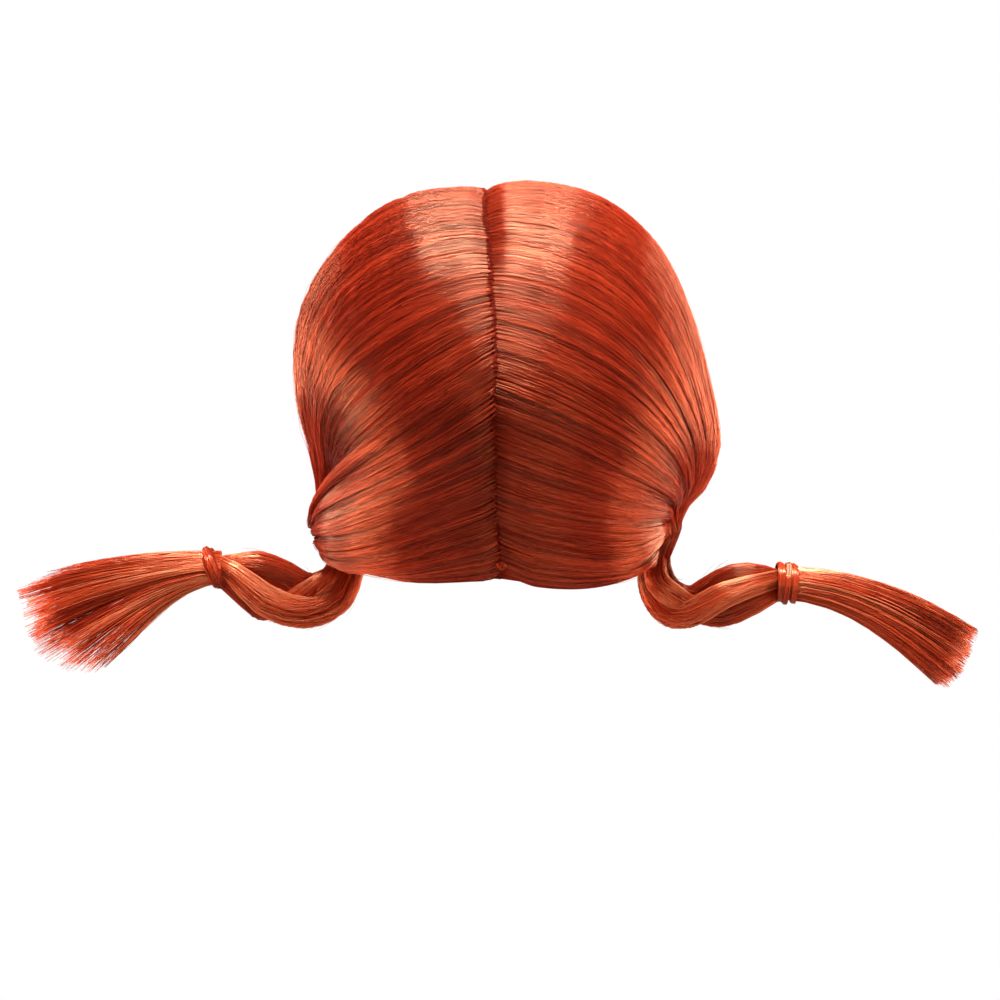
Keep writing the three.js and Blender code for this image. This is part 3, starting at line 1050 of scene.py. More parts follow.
@dataclass
class CombedHair:
    """One swath of combed hair: a closed bed, and the fibres that show on it."""

    flow: SideFlow
    swath: Swath
    fibres: int
    tint: float
    lock_width: float = 2.2
    band_width: float = 10
    fibre_widths: Span = (0.1, 0.19)
    lock_crown: float = 0.06
    layers: float = 0.5
    lock_sink: float = 0.08
    band_sink: float = 0.3
    root_sink: float = 0.8
    root_places: Span = (-0.8, 0.4)
    root_spread: float = 0.2
    mouth_layers: float = 1.8
    stray_share: float = 0.03
    stray_rise: Span = (0.4, 1.8)
    stray_sway: float = 1.2
    stray_thinning: float = 0.3
    lap: float = 0.012
    rim_inset: float = 0.014
    split_step: float = 1.8
    crown_swell: float = 2.2
    bed_sink: float = 1
    bed_root_sink: float = 0.6
    bed_rows: int = 42
    bed_columns: int = 61

    # Rings and samples along the fibres
    ROOT_STEPS = (0, 2, 6, 11)  # the first rings of a fibre, from the seam
    EVEN_STEPS = 8  # rings over the dome
    LAST_STEPS = 5  # rings round the bunch
    RING_SLIDE = (-0.1, 0.6)  # how far a fibre's rings are out of step
    BUNCH_REACH = 40
    PARTING_SAMPLES = 60
    LOCK_SAMPLES = 300
    TUCK_DROP = 12  # from the bunch's mouth down to the fibres' ends in the plait
    TUCK_SHARE = 0.55  # how far out those ends lie, for their places in the mouth

    # How locks, fibres and broad bands sway
    LEAST_LOCKS = 4
    LOCK_PLACES = (0.1, 0.9)  # where a lock's middle lies in its even share of the swath
    LOCK_EDGE = 1.5  # how far from its lock's middle a fibre counts as lying
    LOCK_SWAYS = (Sway(0.35, 1.1), Sway(0.2, 2.4))
    FIBRE_SWAY = Sway(0.3, 1.1)
    LOCK_DIP = Sway(0.3, 1.7)
    FIBRE_DIP = Sway(0.05, 1.9)
    BANDS = (Sway(0.5, 1), Sway(0.35, 2.3), Sway(0.25, 0.6))
    ROOT_GATHER = 0.3  # how far a fibre is drawn to its lock at the parting
    LATE_GATHER = 0.15  # and over the dome

    # Travels over which something sets in or ends
    ROOT_EASE = (0, 0.05)
    GATHER_RISE = (0.15, 0.6)
    DRIFT_RISE = (0.02, 0.25)
    DIP_RISE = (0.05, 0.3)
    ROOT_RISE = (0, 0.02)
    SPLIT_RISE = (0.15, 0.5)
    BED_ROOT_RISE = (0, 0.04)
    BED_DROP = (0.45, 0.7)
    BUNCH_EASE = (0.7, 1)
    BUNCH_SHADE_RISE = (0.82, 1)
    GROOVE_SHADE_RISE = (0.2, 0.6)

    # Where the split and the swollen crown lie
    FRONT_EDGE = (0.84, 0.96)
    BACK_EDGE = (0, 0.1)
    BACK_LAP_SHARE = 0.2
    CROWN_RISE = (0.24, 0.33)
    CROWN_FALL = (0.5, 0.68)
    SWELL_RISE = (0, 0.027)
    SWELL_FALL = (0.03, 0.09)

    # Widths at the root, the bunch and the end, as shares of a fibre's own
    ROOT_WIDTH = 0.7
    BUNCH_WIDTH = 0.75
    END_WIDTH = 0.6

    # Tints, with painted shade at the bunch, beside the split on the front swath and in the grooves between
    # locks, and painted highlight on the back swath's raised edge and on the locks between the grooves
    LOCK_TINT = 0.08
    FIBRE_TINT = 0.11
    BAND_TINT = 0.15
    BUNCH_SHADE = 0.3
    SPLIT_SHADE = 0.5
    GROOVE_SHADE = 0.6
    GROOVE_MIDDLE = 0.25

    @property
    def name(self) -> str:
        """The solid's name."""
        return f"hair_{self.swath.value}_{self.flow.side.label}"

    def parting_length(self) -> float:
        """Measures the stretch of parting that the swath starts from.

        Returns:
            Its length in millimetres.
        """
        along = np.linspace(*self.flow.span(self.swath), self.PARTING_SAMPLES)
        steps = np.diff(self.flow.form.parting_point(along, 0, 0), axis=0)
        return float(np.linalg.norm(steps, axis=1).sum())

    def span(self) -> tuple[float, float]:
        """Finds the stretch of the parting that the hair covers, lapped past the split.

        Returns:
            Its two ends along the parting.
        """
        low, high = self.flow.span(self.swath)
        if self.swath is Swath.FRONT:
            return low, high + self.lap
        return low - self.BACK_LAP_SHARE * self.lap, high

    def measured(self) -> tuple[Array, Array]:
        """Measures the swath's middle lock.

        Returns:
            Travels along it, and its length up to each.
        """
        low, high = self.span()
        fine = np.linspace(0, 1, self.LOCK_SAMPLES)
        along = np.full(fine.shape, (low + high) / 2)
        path = self.flow.points(along, fine, np.ones_like(fine), self.flow.bunch.radius, np.zeros_like(fine))
        return fine, np.concatenate([[0], np.cumsum(np.linalg.norm(np.diff(path, axis=0), axis=1))])

    def travels(self, rng: np.random.Generator) -> Array:
        """Places each fibre's rings: close at the seam and the bunch, even over the dome, and out of step.

        Args:
            rng: Source of the fibres' small differences.

        Returns:
            Travels, a row for each fibre.
        """
        fine, length = self.measured()
        bunch = length[-1] - self.BUNCH_REACH
        even = np.linspace(2 * self.ROOT_STEPS[-1], bunch, self.EVEN_STEPS, endpoint=False)
        last = np.linspace(bunch, length[-1], self.LAST_STEPS)
        rings = np.concatenate([self.ROOT_STEPS, even, last])
        slide = np.where(rings > self.ROOT_STEPS[-1], np.diff(rings, append=rings[-1]), 0)
        return np.interp(rings + rng.uniform(*self.RING_SLIDE, (self.fibres, 1)) * slide, length, fine)

    def edge(self, share: Array, travel: Array) -> Array:
        """Says how much deeper the front swath lies beside the split, and how much higher the back one.

        Args:
            share: Place across the swath.
            travel: Place from the parting to the bunch.

        Returns:
            Depths to add, above 0 for the front swath and below 0 for the back one.
        """
        past = smoothstep(travel, *self.SPLIT_RISE)
        if self.swath is Swath.FRONT:
            return self.split_step * smoothstep(share, *self.FRONT_EDGE) * past
        return -self.split_step * (1 - smoothstep(share, *self.BACK_EDGE)) * past

    def swell(self, along: Array, travel: Array) -> Array:
        """Says how much higher the right side's hair lies beside the parting, at the crown and behind it.

        Args:
            along: Place along the parting.
            travel: Place from the parting to the bunch.

        Returns:
            Heights, all 0 on the left side.
        """
        if self.flow.side is Side.LEFT:
            return np.zeros(along.shape)
        crown = smoothstep(along, *self.CROWN_RISE) * (1 - smoothstep(along, *self.CROWN_FALL))
        beside = smoothstep(travel, *self.SWELL_RISE) * (1 - smoothstep(travel, *self.SWELL_FALL))
        return self.crown_swell * crown * beside

    def sorted_locks(self, rng: np.random.Generator) -> Locks:
        """Shares the fibres out among small locks.

        Args:
            rng: Source of the fibres' small differences.

        Returns:
            The fibres' places and locks.
        """
        count = max(round(self.parting_length() / self.lock_width), self.LEAST_LOCKS)
        centres = (np.arange(count) + rng.uniform(*self.LOCK_PLACES, count)) / count
        own = rng.random(self.fibres)
        number = np.abs(own[:, None] - centres[None, :]).argmin(axis=1)
        stray = (rng.random((self.fibres, 1)) < self.stray_share).astype(float)
        phases = rng.random((3, count))[:, number][..., None]
        return Locks(count, own, number, centres[number][:, None], stray, phases)

    def across(self, locks: Locks, travel: Array, rng: np.random.Generator) -> Array:
        """Runs the fibres across the swath, drawn to their locks and drifting.

        Args:
            locks: The fibres' places and locks.
            travel: Their rings on the way to the bunch.
            rng: Source of their small differences.

        Returns:
            Each ring's place across the swath, from 0 to 1 and a little inside the rim.
        """
        swaying = zip(self.LOCK_SWAYS, locks.phases)
        drift = sum(sway.size * wave(sway.turns * travel + phase) for sway, phase in swaying)
        own_size = self.FIBRE_SWAY.size + self.stray_sway * locks.stray
        drift = drift + own_size * wave(self.FIBRE_SWAY.turns * travel + rng.random((self.fibres, 1)))
        gather = blend(self.ROOT_GATHER, 0, smoothstep(travel, *self.ROOT_EASE))
        gather = gather + self.LATE_GATHER * smoothstep(travel, *self.GATHER_RISE)
        drift = drift * smoothstep(travel, *self.DRIFT_RISE) / locks.count
        share = blend(locks.own[:, None], locks.aim, gather) + drift
        first = self.rim_inset if self.swath is Swath.FRONT else 0
        return np.clip(share, first, first + 1 - self.rim_inset)

    def banded(self, own: Array, rng: np.random.Generator) -> Array:
        """Varies the hair in broad uneven bands.

        Args:
            own: The fibres' places across the swath.
            rng: Source of where the bands start.

        Returns:
            A value for each fibre, between about -1 and 1.
        """
        bands = self.parting_length() / self.band_width
        swaying = zip(self.BANDS, rng.random(len(self.BANDS)))
        return sum(sway.size * wave(sway.turns * bands * own + phase) for sway, phase in swaying)

    def depths(self, locks: Locks, course: Course, band: Array, rng: np.random.Generator) -> Array:
        """Lays the fibres over one another.

        Args:
            locks: The fibres' places and locks.
            course: Where their rings lie.
            band: How their broad bands vary.
            rng: Source of their small differences.

        Returns:
            How deep each ring lies under the form.
        """
        share, along, travel = course
        column = (self.fibres, 1)
        sink = rng.uniform(-self.lock_sink, self.lock_sink, locks.count)[locks.number][:, None]
        sink = sink + self.band_sink * band[:, None]
        sink = sink + self.LOCK_DIP.size * wave(self.LOCK_DIP.turns * travel + locks.phases[2])
        sink = sink + self.FIBRE_DIP.size * wave(self.FIBRE_DIP.turns * travel + rng.random(column))
        depth = self.flow.outer_depth(self.swath, along, share, travel)
        depth = depth + sink * smoothstep(travel, *self.DIP_RISE)
        depth = depth + self.edge(share, travel) - self.swell(along, travel)
        inside = (locks.own[:, None] - locks.aim) * 2 * locks.count
        inside = np.clip(inside, -self.LOCK_EDGE, self.LOCK_EDGE)
        depth = depth + self.lock_crown * inside**2 + self.layers * rng.random(column)
        depth = depth + self.root_sink * (1 - smoothstep(travel, *self.ROOT_RISE))
        return depth - locks.stray * rng.uniform(*self.stray_rise, column) * np.sin(np.pi * travel) ** 2

    def starts(self, locks: Locks, along: Array, rng: np.random.Generator) -> Array:
        """Sets the fibres' roots beside the parting.

        Args:
            locks: The fibres' places and locks.
            along: Their rings' places along the parting.
            rng: Source of their small differences.

        Returns:
            How far from the middle of the parting each ring's lock starts.
        """
        form = self.flow.form
        aside = rng.uniform(*self.root_places, (self.fibres, 1))
        aside = aside + rng.normal(0, self.root_spread, locks.count)[locks.number][:, None]
        return aside + self.flow.side.value * (form.wander(along) + form.zigzag(along[:, :1]))

    def widths(self, locks: Locks, travel: Array, rng: np.random.Generator) -> Array:
        """Gives the fibres' half widths, thinner at both ends.

        Args:
            locks: The fibres' places and locks.
            travel: Their rings on the way to the bunch.
            rng: Source of their small differences.

        Returns:
            A half width for each ring and for the end in the plait.
        """
        root = blend(self.ROOT_WIDTH, 1, smoothstep(travel, *self.ROOT_EASE))
        profile = root * blend(1, self.BUNCH_WIDTH, smoothstep(travel, *self.BUNCH_EASE))
        profile = with_end(profile, profile[:, -1:] * self.END_WIDTH)
        width = rng.uniform(*self.fibre_widths, (self.fibres, 1)) * (1 - self.stray_thinning * locks.stray)
        return width * profile

    def tints(self, locks: Locks, course: Course, band: Array, rng: np.random.Generator) -> Array:
        """Tints the fibres with painted shade at the bunch, beside the split on the front swath and in the
        grooves, and painted highlight on the back swath's edge and between the grooves.

        Args:
            locks: The fibres' places and locks.
            course: Where their rings lie.
            band: How their broad bands vary.
            rng: Source of their small differences.

        Returns:
            A tint for each ring and for the end in the plait.
        """
        share, _, travel = course
        tints = rng.normal(self.tint, self.LOCK_TINT, locks.count)[locks.number]
        tints = tints + rng.normal(0, self.FIBRE_TINT, self.fibres) - self.BAND_TINT * band
        # Painted shade at the bunch and beside the split on the front swath; beside the split on the back
        # swath the same term is a painted highlight on its raised edge.
        shadow = self.BUNCH_SHADE * smoothstep(travel, *self.BUNCH_SHADE_RISE)
        shadow = shadow + self.SPLIT_SHADE * self.edge(share, travel) / self.split_step
        # Painted shade in the grooves between locks, and a little painted highlight on the locks between
        # them.
        groove = self.flow.groove(self.swath, share) ** 2 - self.GROOVE_MIDDLE
        shadow = shadow + self.GROOVE_SHADE * groove * smoothstep(travel, *self.GROOVE_SHADE_RISE)
        return np.clip(tints[:, None] - with_end(shadow, shadow[:, -1:]), 0, 1)

    def combed(self, rng: np.random.Generator) -> FibreBundle:
        """Combs the fibres out of the parting, over the dome and into the bunch, in small locks.

        Args:
            rng: Source of the fibres' small differences.

        Returns:
            The fibres.
        """
        travel = self.travels(rng)
        locks = self.sorted_locks(rng)
        share = self.across(locks, travel, rng)
        along = blend(*self.span(), share)
        course = Course(share, along, travel)
        band = self.banded(locks.own, rng)
        depth = self.depths(locks, course, band, rng)
        aside = self.starts(locks, along, rng)
        inwards = rng.uniform(0, self.mouth_layers, (self.fibres, 1))
        mouth = self.flow.bunch.radius - inwards * np.ones_like(along)
        paths = self.flow.points(along, travel, aside, mouth, depth)
        ridges = self.facing(along, travel, aside, mouth, depth)
        paths = with_end(paths, self.tucked_ends(paths[:, -1:]))
        ridges = with_end(ridges, ridges[:, -1:])
        widths = self.widths(locks, travel, rng)
        return FibreBundle(paths, ridges, widths, self.tints(locks, course, band, rng))

    def facing(self, along: Array, travel: Array, aside: Array, mouth: Array, depth: Array) -> Array:
        """Works out the way that the surface faces.

        Args:
            along: Place along the parting.
            travel: Place from the parting to the bunch.
            aside: Start beside the parting.
            mouth: Radius of the bunch's mouth.
            depth: Depth under the form.

        Returns:
            Unit vectors out of the surface.
        """
        step = 0.004
        travel = np.broadcast_to(travel, along.shape)
        later, sooner = np.clip(travel + step, 0, 1), np.clip(travel - step, 0, 1)
        points = self.flow.points
        lower, upper = (points(along + s, travel, aside, mouth, depth) for s in (-step, step))
        before, after = (points(along, t, aside, mouth, depth) for t in (sooner, later))
        return unit(np.cross(upper - lower, after - before)) * self.flow.side.value

    def tucked_ends(self, ends: Array) -> Array:
        """Carries fibres from the bunch's mouth down into the plait.

        Args:
            ends: Their last points in the mouth.

        Returns:
            Their ends in the plait.
        """
        bunch = self.flow.bunch
        mouth = np.array([bunch.x, bunch.y, bunch.z])
        plait = np.array([bunch.plait_x, bunch.plait_y, bunch.z - self.TUCK_DROP])
        return plait + (ends - mouth) * self.TUCK_SHARE

    def bed_points(self, inner: bool) -> Array:
        """Lays out one face of the bed.

        Args:
            inner: Whether it is the inner face, in the hollow, or the outer one.

        Returns:
            Rows of points from the parting to the bunch.
        """
        fine, length = self.measured()
        travel = np.interp(np.linspace(0, length[-1], self.bed_rows), length, fine)[:, None]
        share = np.linspace(0, 1, self.bed_columns)[None, :]
        if self.flow.side is Side.LEFT:
            share = share[:, ::-1]
        travel, along = np.broadcast_arrays(travel, blend(*self.span(), share))
        form, bunch = self.flow.form, self.flow.bunch
        aside = np.full(along.shape, 0.5 * form.seam_width) + self.flow.side.value * form.wander(along)
        if inner:
            return self.flow.points(along, travel, aside, bunch.radius - bunch.wall, form.wall)
        depth = self.flow.outer_depth(self.swath, along, share, travel) + self.bed_sink
        depth = depth + self.edge(share, travel) - self.swell(along, travel)
        depth = depth + smoothstep(travel, *self.BED_DROP)
        root_sink = self.root_sink + self.bed_root_sink
        depth = depth + root_sink * (1 - smoothstep(travel, *self.BED_ROOT_RISE))
        depth = np.minimum(depth, form.wall - form.least_wall)
        return self.flow.points(along, travel, aside, bunch.radius - self.bed_sink, depth)

    def build(self, wardrobe: Wardrobe, rng: np.random.Generator) -> None:
        """Builds and dresses the swath's bed and fibres.

        Args:
            wardrobe: The wig's materials.
            rng: Source of the fibres' small differences.
        """
        bed = walled_sheet(f"{self.name}_bed", self.bed_points(inner=False), self.bed_points(inner=True))
        settle(bed, self.name, Slot.HAIR, wardrobe.bed, wardrobe.cap)
        fibres = fibre_piece(f"{self.name}_fibres", [self.combed(rng)])
        settle(fibres, self.name, Slot.HAIR, wardrobe.fibre)


@dataclass
class PartingSeam:
    """The sewn strip in the parting, with its stitches and the knot at the nape."""

    form: HairForm = FORM
    rows: int = 150
    columns: int = 5
    raised: float = 0.9
    tuck: float = 0.5
    bow: float = 2
    thinnest: float = 1
    stitches: int = 190
    stitch_rings: int = 5
    stitch_half_width: float = 0.24
    stitch_reach: float = 1.1
    stitch_slant: float = 0.35
    stitch_rise: float = 0.25
    knot_fibres: int = 46
    knot_rings: int = 10
    knot_half_width: float = 0.16
    knot_place: float = 0.967
    knot_aside: float = 2
    knot_depth: float = 1
    knot_size: float = 2.6
    knot_flatness: float = 0.8
    knot_wobble: float = 0.5

    NAME = "parting_seam"
    STITCH_PLACES = (0.3, 0.7)  # where a stitch lies in its even share of the strip
    STITCH_TINTS = (0, 0.2)
    KNOT_CURLS = (2.5, 5.5)  # how far a knot's fibre curls, in radians
    KNOT_SIZES = (0.35, 1)
    KNOT_HEIGHTS = (-0.6, 1.2)
    KNOT_TINTS = (0.3, 0.9)
    CURL_END = 0.7  # a curl's size at its end, for 1 at its start

    def strip_points(self, inner: bool) -> Array:
        """Lays out one face of the strip.

        Args:
            inner: Whether it is the inner face, in the hollow, or the outer one.

        Returns:
            Rows of points from the forehead to the nape.
        """
        along = np.linspace(0, 1, self.rows)[:, None]
        half = 0.5 * self.form.seam_width + self.tuck
        bow = np.linspace(-1, 1, self.columns)[None, :]
        aside = half * bow + self.form.wander(along)
        along, bow = np.broadcast_arrays(along, bow)
        if inner:
            return self.form.parting_point(along, aside, np.full(along.shape, self.form.wall))
        depth = self.top_depth(along) + self.bow * bow**2
        return self.form.parting_point(along, aside, np.minimum(depth, self.form.wall - self.form.least_wall))

    def top_depth(self, along: Array) -> Array:
        """Says how deep the strip lies, no deeper than its wall allows at the rims."""
        thin = self.form.rim_thinning(np.minimum(along, 1 - along))
        return np.minimum(self.form.seam_depth - self.raised + thin, self.form.wall - self.thinnest)

    def sewn(self, rng: np.random.Generator) -> FibreBundle:
        """Sews slanted stitches across the strip.

        Args:
            rng: Source of the stitches' small differences.

        Returns:
            The stitches.
        """
        order = np.arange(self.stitches)
        along = (order + rng.uniform(*self.STITCH_PLACES, self.stitches)) / self.stitches
        reach = np.linspace(-1, 1, self.stitch_rings)[None, :]
        slant = np.where(order % 2, 1, -1)[:, None] * self.stitch_slant / self.stitches
        along = np.clip(along[:, None] + slant * reach, 0, 1)
        aside = self.stitch_reach * reach + self.form.wander(along)
        depth = self.top_depth(along) - self.stitch_rise * (1 - reach**2)
        paths = self.form.parting_point(along, aside, depth)
        ridges = unit(paths - np.array(self.form.centre))
        widths = np.full(along.shape, self.stitch_half_width)
        return FibreBundle(paths, ridges, widths, rng.uniform(*self.STITCH_TINTS, self.stitches))

    def knotted(self, rng: np.random.Generator) -> FibreBundle:
        """Curls short fibres into a small fuzzy knot near the nape end.

        Args:
            rng: Source of the fibres' small differences.

        Returns:
            The fibres.
        """
        column = (self.knot_fibres, 1)
        middle = self.form.parting_point(np.array([self.knot_place]), self.knot_aside, self.knot_depth)[0]
        out = unit(middle - np.array(self.form.centre))
        level = unit(np.cross(out, UPWARD))
        upright = np.cross(level, out)
        turn = np.linspace(0, 1, self.knot_rings)[None, :]
        start = rng.uniform(0, 2 * np.pi, column)
        angle = start + turn * rng.uniform(*self.KNOT_CURLS, column)
        size = self.knot_size * rng.uniform(*self.KNOT_SIZES, column) * blend(1, self.CURL_END, turn)
        height = rng.uniform(*self.KNOT_HEIGHTS, column) + self.knot_wobble * np.sin(3 * angle)
        curl = np.cos(angle)[..., None] * level + np.sin(angle)[..., None] * upright * self.knot_flatness
        paths = middle + size[..., None] * curl
        paths = paths + height[..., None] * out
        ridges = np.broadcast_to(out, paths.shape)
        widths = np.full(paths.shape[:2], self.knot_half_width)
        return FibreBundle(paths, ridges, widths, rng.uniform(*self.KNOT_TINTS, self.knot_fibres))

    def build(self, wardrobe: Wardrobe, rng: np.random.Generator) -> None:
        """Builds and dresses the strip, its stitches and the knot.

        Args:
            wardrobe: The wig's materials.
            rng: Source of the fibres' small differences.
        """
        strip = walled_sheet("parting_strip", self.strip_points(inner=False), self.strip_points(inner=True))
        settle(strip, self.NAME, Slot.SEAM, wardrobe.seam, wardrobe.cap)
        settle(fibre_piece("parting_stitches", [self.sewn(rng)]), self.NAME, Slot.SEAM, wardrobe.seam)
        settle(fibre_piece("parting_knot", [self.knotted(rng)]), self.NAME, Slot.SEAM, wardrobe.fibre)


class Route:
    """A smooth line through the rows of a plait's strand."""

    FINE = 160  # places in a fine run along the line
    ROOT_SHARE = 0.09  # share of the line that the strand's root is rounded over

    def __init__(self, rows: Sequence[StrandRow]) -> None:
        """Keeps the rows' points, with one more past each end.

        Args:
            rows: The strand's points and half widths, from its root to its end.
        """
        points = np.array([row[:3] for row in rows], float)
        self.spans = len(points) - 1
        self.points = np.vstack([2 * points[0] - points[1], points, 2 * points[-1] - points[-2]])
        self.widths = SmoothTable(tuple(range(len(rows))), tuple(row.wide for row in rows))

    def at(self, share: Array) -> Array:
        """Follows the line.

        Args:
            share: Places from its start (0) to its end (1).

        Returns:
            Points on a centripetal Catmull-Rom curve.
        """
        place = np.asarray(share) * self.spans
        row = np.minimum(place.astype(int), self.spans - 1)
        t = (place - row)[:, None]
        a, b, c, d = (self.points[row + i] for i in range(4))
        pairs = ((a, b), (b, c), (c, d))
        first, middle, last = (np.sqrt(np.linalg.norm(q - p, axis=1))[:, None] for p, q in pairs)
        leave = ((b - a) / first - (c - a) / (first + middle) + (c - b) / middle) * middle
        enter = ((c - b) / middle - (d - b) / (middle + last) + (d - c) / last) * middle
        return hermite(b, leave, c, enter, t)

    def frames(self, share: Array) -> tuple[Array, Array, Array, Array]:
        """Measures the line.

        Args:
            share: Places along it, from 0 to 1.

        Returns:
            Its points, half widths and two cross axes there.
        """
        points = self.at(share)
        tangents = unit(np.gradient(points, axis=0))
        deep = unit(FORWARD - tangents * tangents[:, 1:2])
        rounded = np.sqrt(1 - (1 - np.clip(share / self.ROOT_SHARE, 0, 1)) ** 2)
        return points, self.widths.at(share * self.spans) * rounded, np.cross(tangents, deep), deep

    def spread(self, share: Array) -> list[Array]:
        """Measures the line for many fibres at once.

        Args:
            share: Places along it, in an array of any shape.

        Returns:
            What frames gives, read from a fine run of places.
        """
        columns = self.frames(np.linspace(0, 1, self.FINE))
        place = np.clip(share, 0, 1) * (self.FINE - 1)
        low = np.minimum(place.astype(int), self.FINE - 2)
        past = place - low
        return [blend(c[low], c[low + 1], past if c.ndim == 1 else past[..., None]) for c in columns]


@dataclass
class Strand:
    """One strand of a plait: a closed core under a coat of fibres."""

    name: str
    rows: tuple[StrandRow, ...]
    plait: tuple[tuple[StrandRow, ...], ...]
    fibres: int = 290
    rings: int = 13
    fibre_widths: Span = (0.12, 0.22)
    flatness: float = 0.82
    core_share: float = 0.86
    core_rows: int = 40
    core_columns: int = 15
    twist: float = 0.9
    sway: float = 0.12
    grooves: int = 5
    groove_depth: float = 0.1
    layers: float = 0.1
    frizz: float = 0.07
    tint: float = 0.78

    ROOT_RINGS = (0, 0.025)  # a fibre's first rings, on the rounded root
    FIRST_RING = 0.07  # the first of its other rings
    RING_SLIDE = (-0.5, 0.5)  # how far a fibre's rings are out of step
    END_WIDTH = 0.7  # a fibre's width at its ends, for 1 in the middle

    # Frizzed fibres, as shares of the strand's length and width
    FRIZZ_STARTS = (0.25, 0.8)
    FRIZZ_LENGTHS = (0.08, 0.2)
    FRIZZ_LIFTS = (0.1, 0.6)
    FRIZZ_BEND = 1.5
    FRIZZ_WIDTH = 0.55

    # Tints, with painted shade at the root and where a strand lies under the others, and painted highlight
    # where it lies over them
    ROUND_TINT = 0.2
    FIBRE_TINT = 0.14
    ROOT_SHADE = 0.6
    ROOT_FADE = (0.18, 0.52)
    NEAR_SHADE_AND_HIGHLIGHT = 0.06
    SLOW_TINT = Sway(0.15, 2.1)

    def core_points(self) -> Array:
        """Lays out the core.

        Returns:
            Rows of points round the strand, from its root to its end.
        """
        points, wide, across, deep = Route(self.rows).frames(np.linspace(0, 1, self.core_rows))
        turn = np.linspace(0, 2 * np.pi, self.core_columns)
        wide = (wide * self.core_share)[:, None, None]
        sides = np.cos(turn)[None, :, None] * across[:, None] * wide
        depths = np.sin(turn)[None, :, None] * deep[:, None] * wide * self.flatness
        return points[:, None] + sides + depths

    def nearness(self, share: Array) -> Array:
        """Says how far the strand lies outside the middle of its plait, over the other strands."""
        middle = np.mean([Route(rows).spread(share)[0][..., 1] for rows in self.plait], axis=0)
        return middle - Route(self.rows).spread(share)[0][..., 1]

    def tints(self, start: Array, share: Array, rng: np.random.Generator) -> Array:
        """Tints the fibres with painted shade at the root and where the strand lies under the others, and
        painted highlight where it lies over them.

        Args:
            start: The fibres' places round the strand.
            share: Their rings' places along it.
            rng: Source of their small differences.

        Returns:
            A tint for each ring.
        """
        tints = self.tint + self.ROUND_TINT * np.cos(2 * start + 1)
        tints = tints + rng.normal(0, self.FIBRE_TINT, start.shape)
        # Painted shade at the root, under the swath.
        tints = tints - self.ROOT_SHADE * (1 - smoothstep(share, *self.ROOT_FADE))
        # Painted highlight where the strand lies over the others, painted shade where it lies under them.
        tints = tints + self.NEAR_SHADE_AND_HIGHLIGHT * self.nearness(share)
        tints = tints + self.SLOW_TINT.size * wave(self.SLOW_TINT.turns * share + rng.random())
        return np.clip(tints, 0, PALEST)

    def coat(self, rng: np.random.Generator) -> FibreBundle:
        """Lays fibres along the strand with a slow twist, a few of them frizzed.

        Args:
            rng: Source of the fibres' small differences.

        Returns:
            The fibres.
        """
        column = (self.fibres, 1)
        ring = np.concatenate([self.ROOT_RINGS, np.linspace(self.FIRST_RING, 1, self.rings)])[None, :]
        frizzy = rng.random(column) < self.frizz
        first = np.where(frizzy, rng.uniform(*self.FRIZZ_STARTS, column), 0)
        length = np.where(frizzy, rng.uniform(*self.FRIZZ_LENGTHS, column), 1)
        slide = rng.uniform(*self.RING_SLIDE, column) / self.rings * np.sin(np.pi * ring)
        share = first + length * (ring + slide)
        points, wide, across, deep = Route(self.rows).spread(share)
        start = rng.uniform(0, 2 * np.pi, column)
        sway = rng.normal(0, self.sway, column) * wave(share + rng.random(column))
        turn = start + self.twist * share + sway
        groove = 1 - np.abs(np.cos(0.5 * self.grooves * start))
        lift = 1 - self.groove_depth * groove - self.layers * rng.random(column) ** 2
        lift = lift + frizzy * rng.uniform(*self.FRIZZ_LIFTS, column) * ring**self.FRIZZ_BEND
        sides = np.cos(turn)[..., None] * across
        depths = np.sin(turn)[..., None] * deep
        paths = points + (lift * wide)[..., None] * (sides + depths * self.flatness)
        ridges = unit(sides * self.flatness + depths)
        thick = rng.uniform(*self.fibre_widths, column) * np.where(frizzy, self.FRIZZ_WIDTH, 1)
        widths = thick * blend(self.END_WIDTH, 1, np.sin(np.pi * ring))
        return FibreBundle(paths, ridges, widths, self.tints(start, share, rng))

    def build(self, wardrobe: Wardrobe, rng: np.random.Generator) -> None:
        """Builds and dresses the strand's core and coat.

        Args:
            wardrobe: The wig's materials.
            rng: Source of the fibres' small differences.
        """
        settle(closed_tube(f"{self.name}_core", self.core_points()), self.name, Slot.HAIR, wardrobe.bed)
        fibres = fibre_piece(f"{self.name}_fibres", [self.coat(rng)])
        settle(fibres, self.name, Slot.HAIR, wardrobe.fibre)


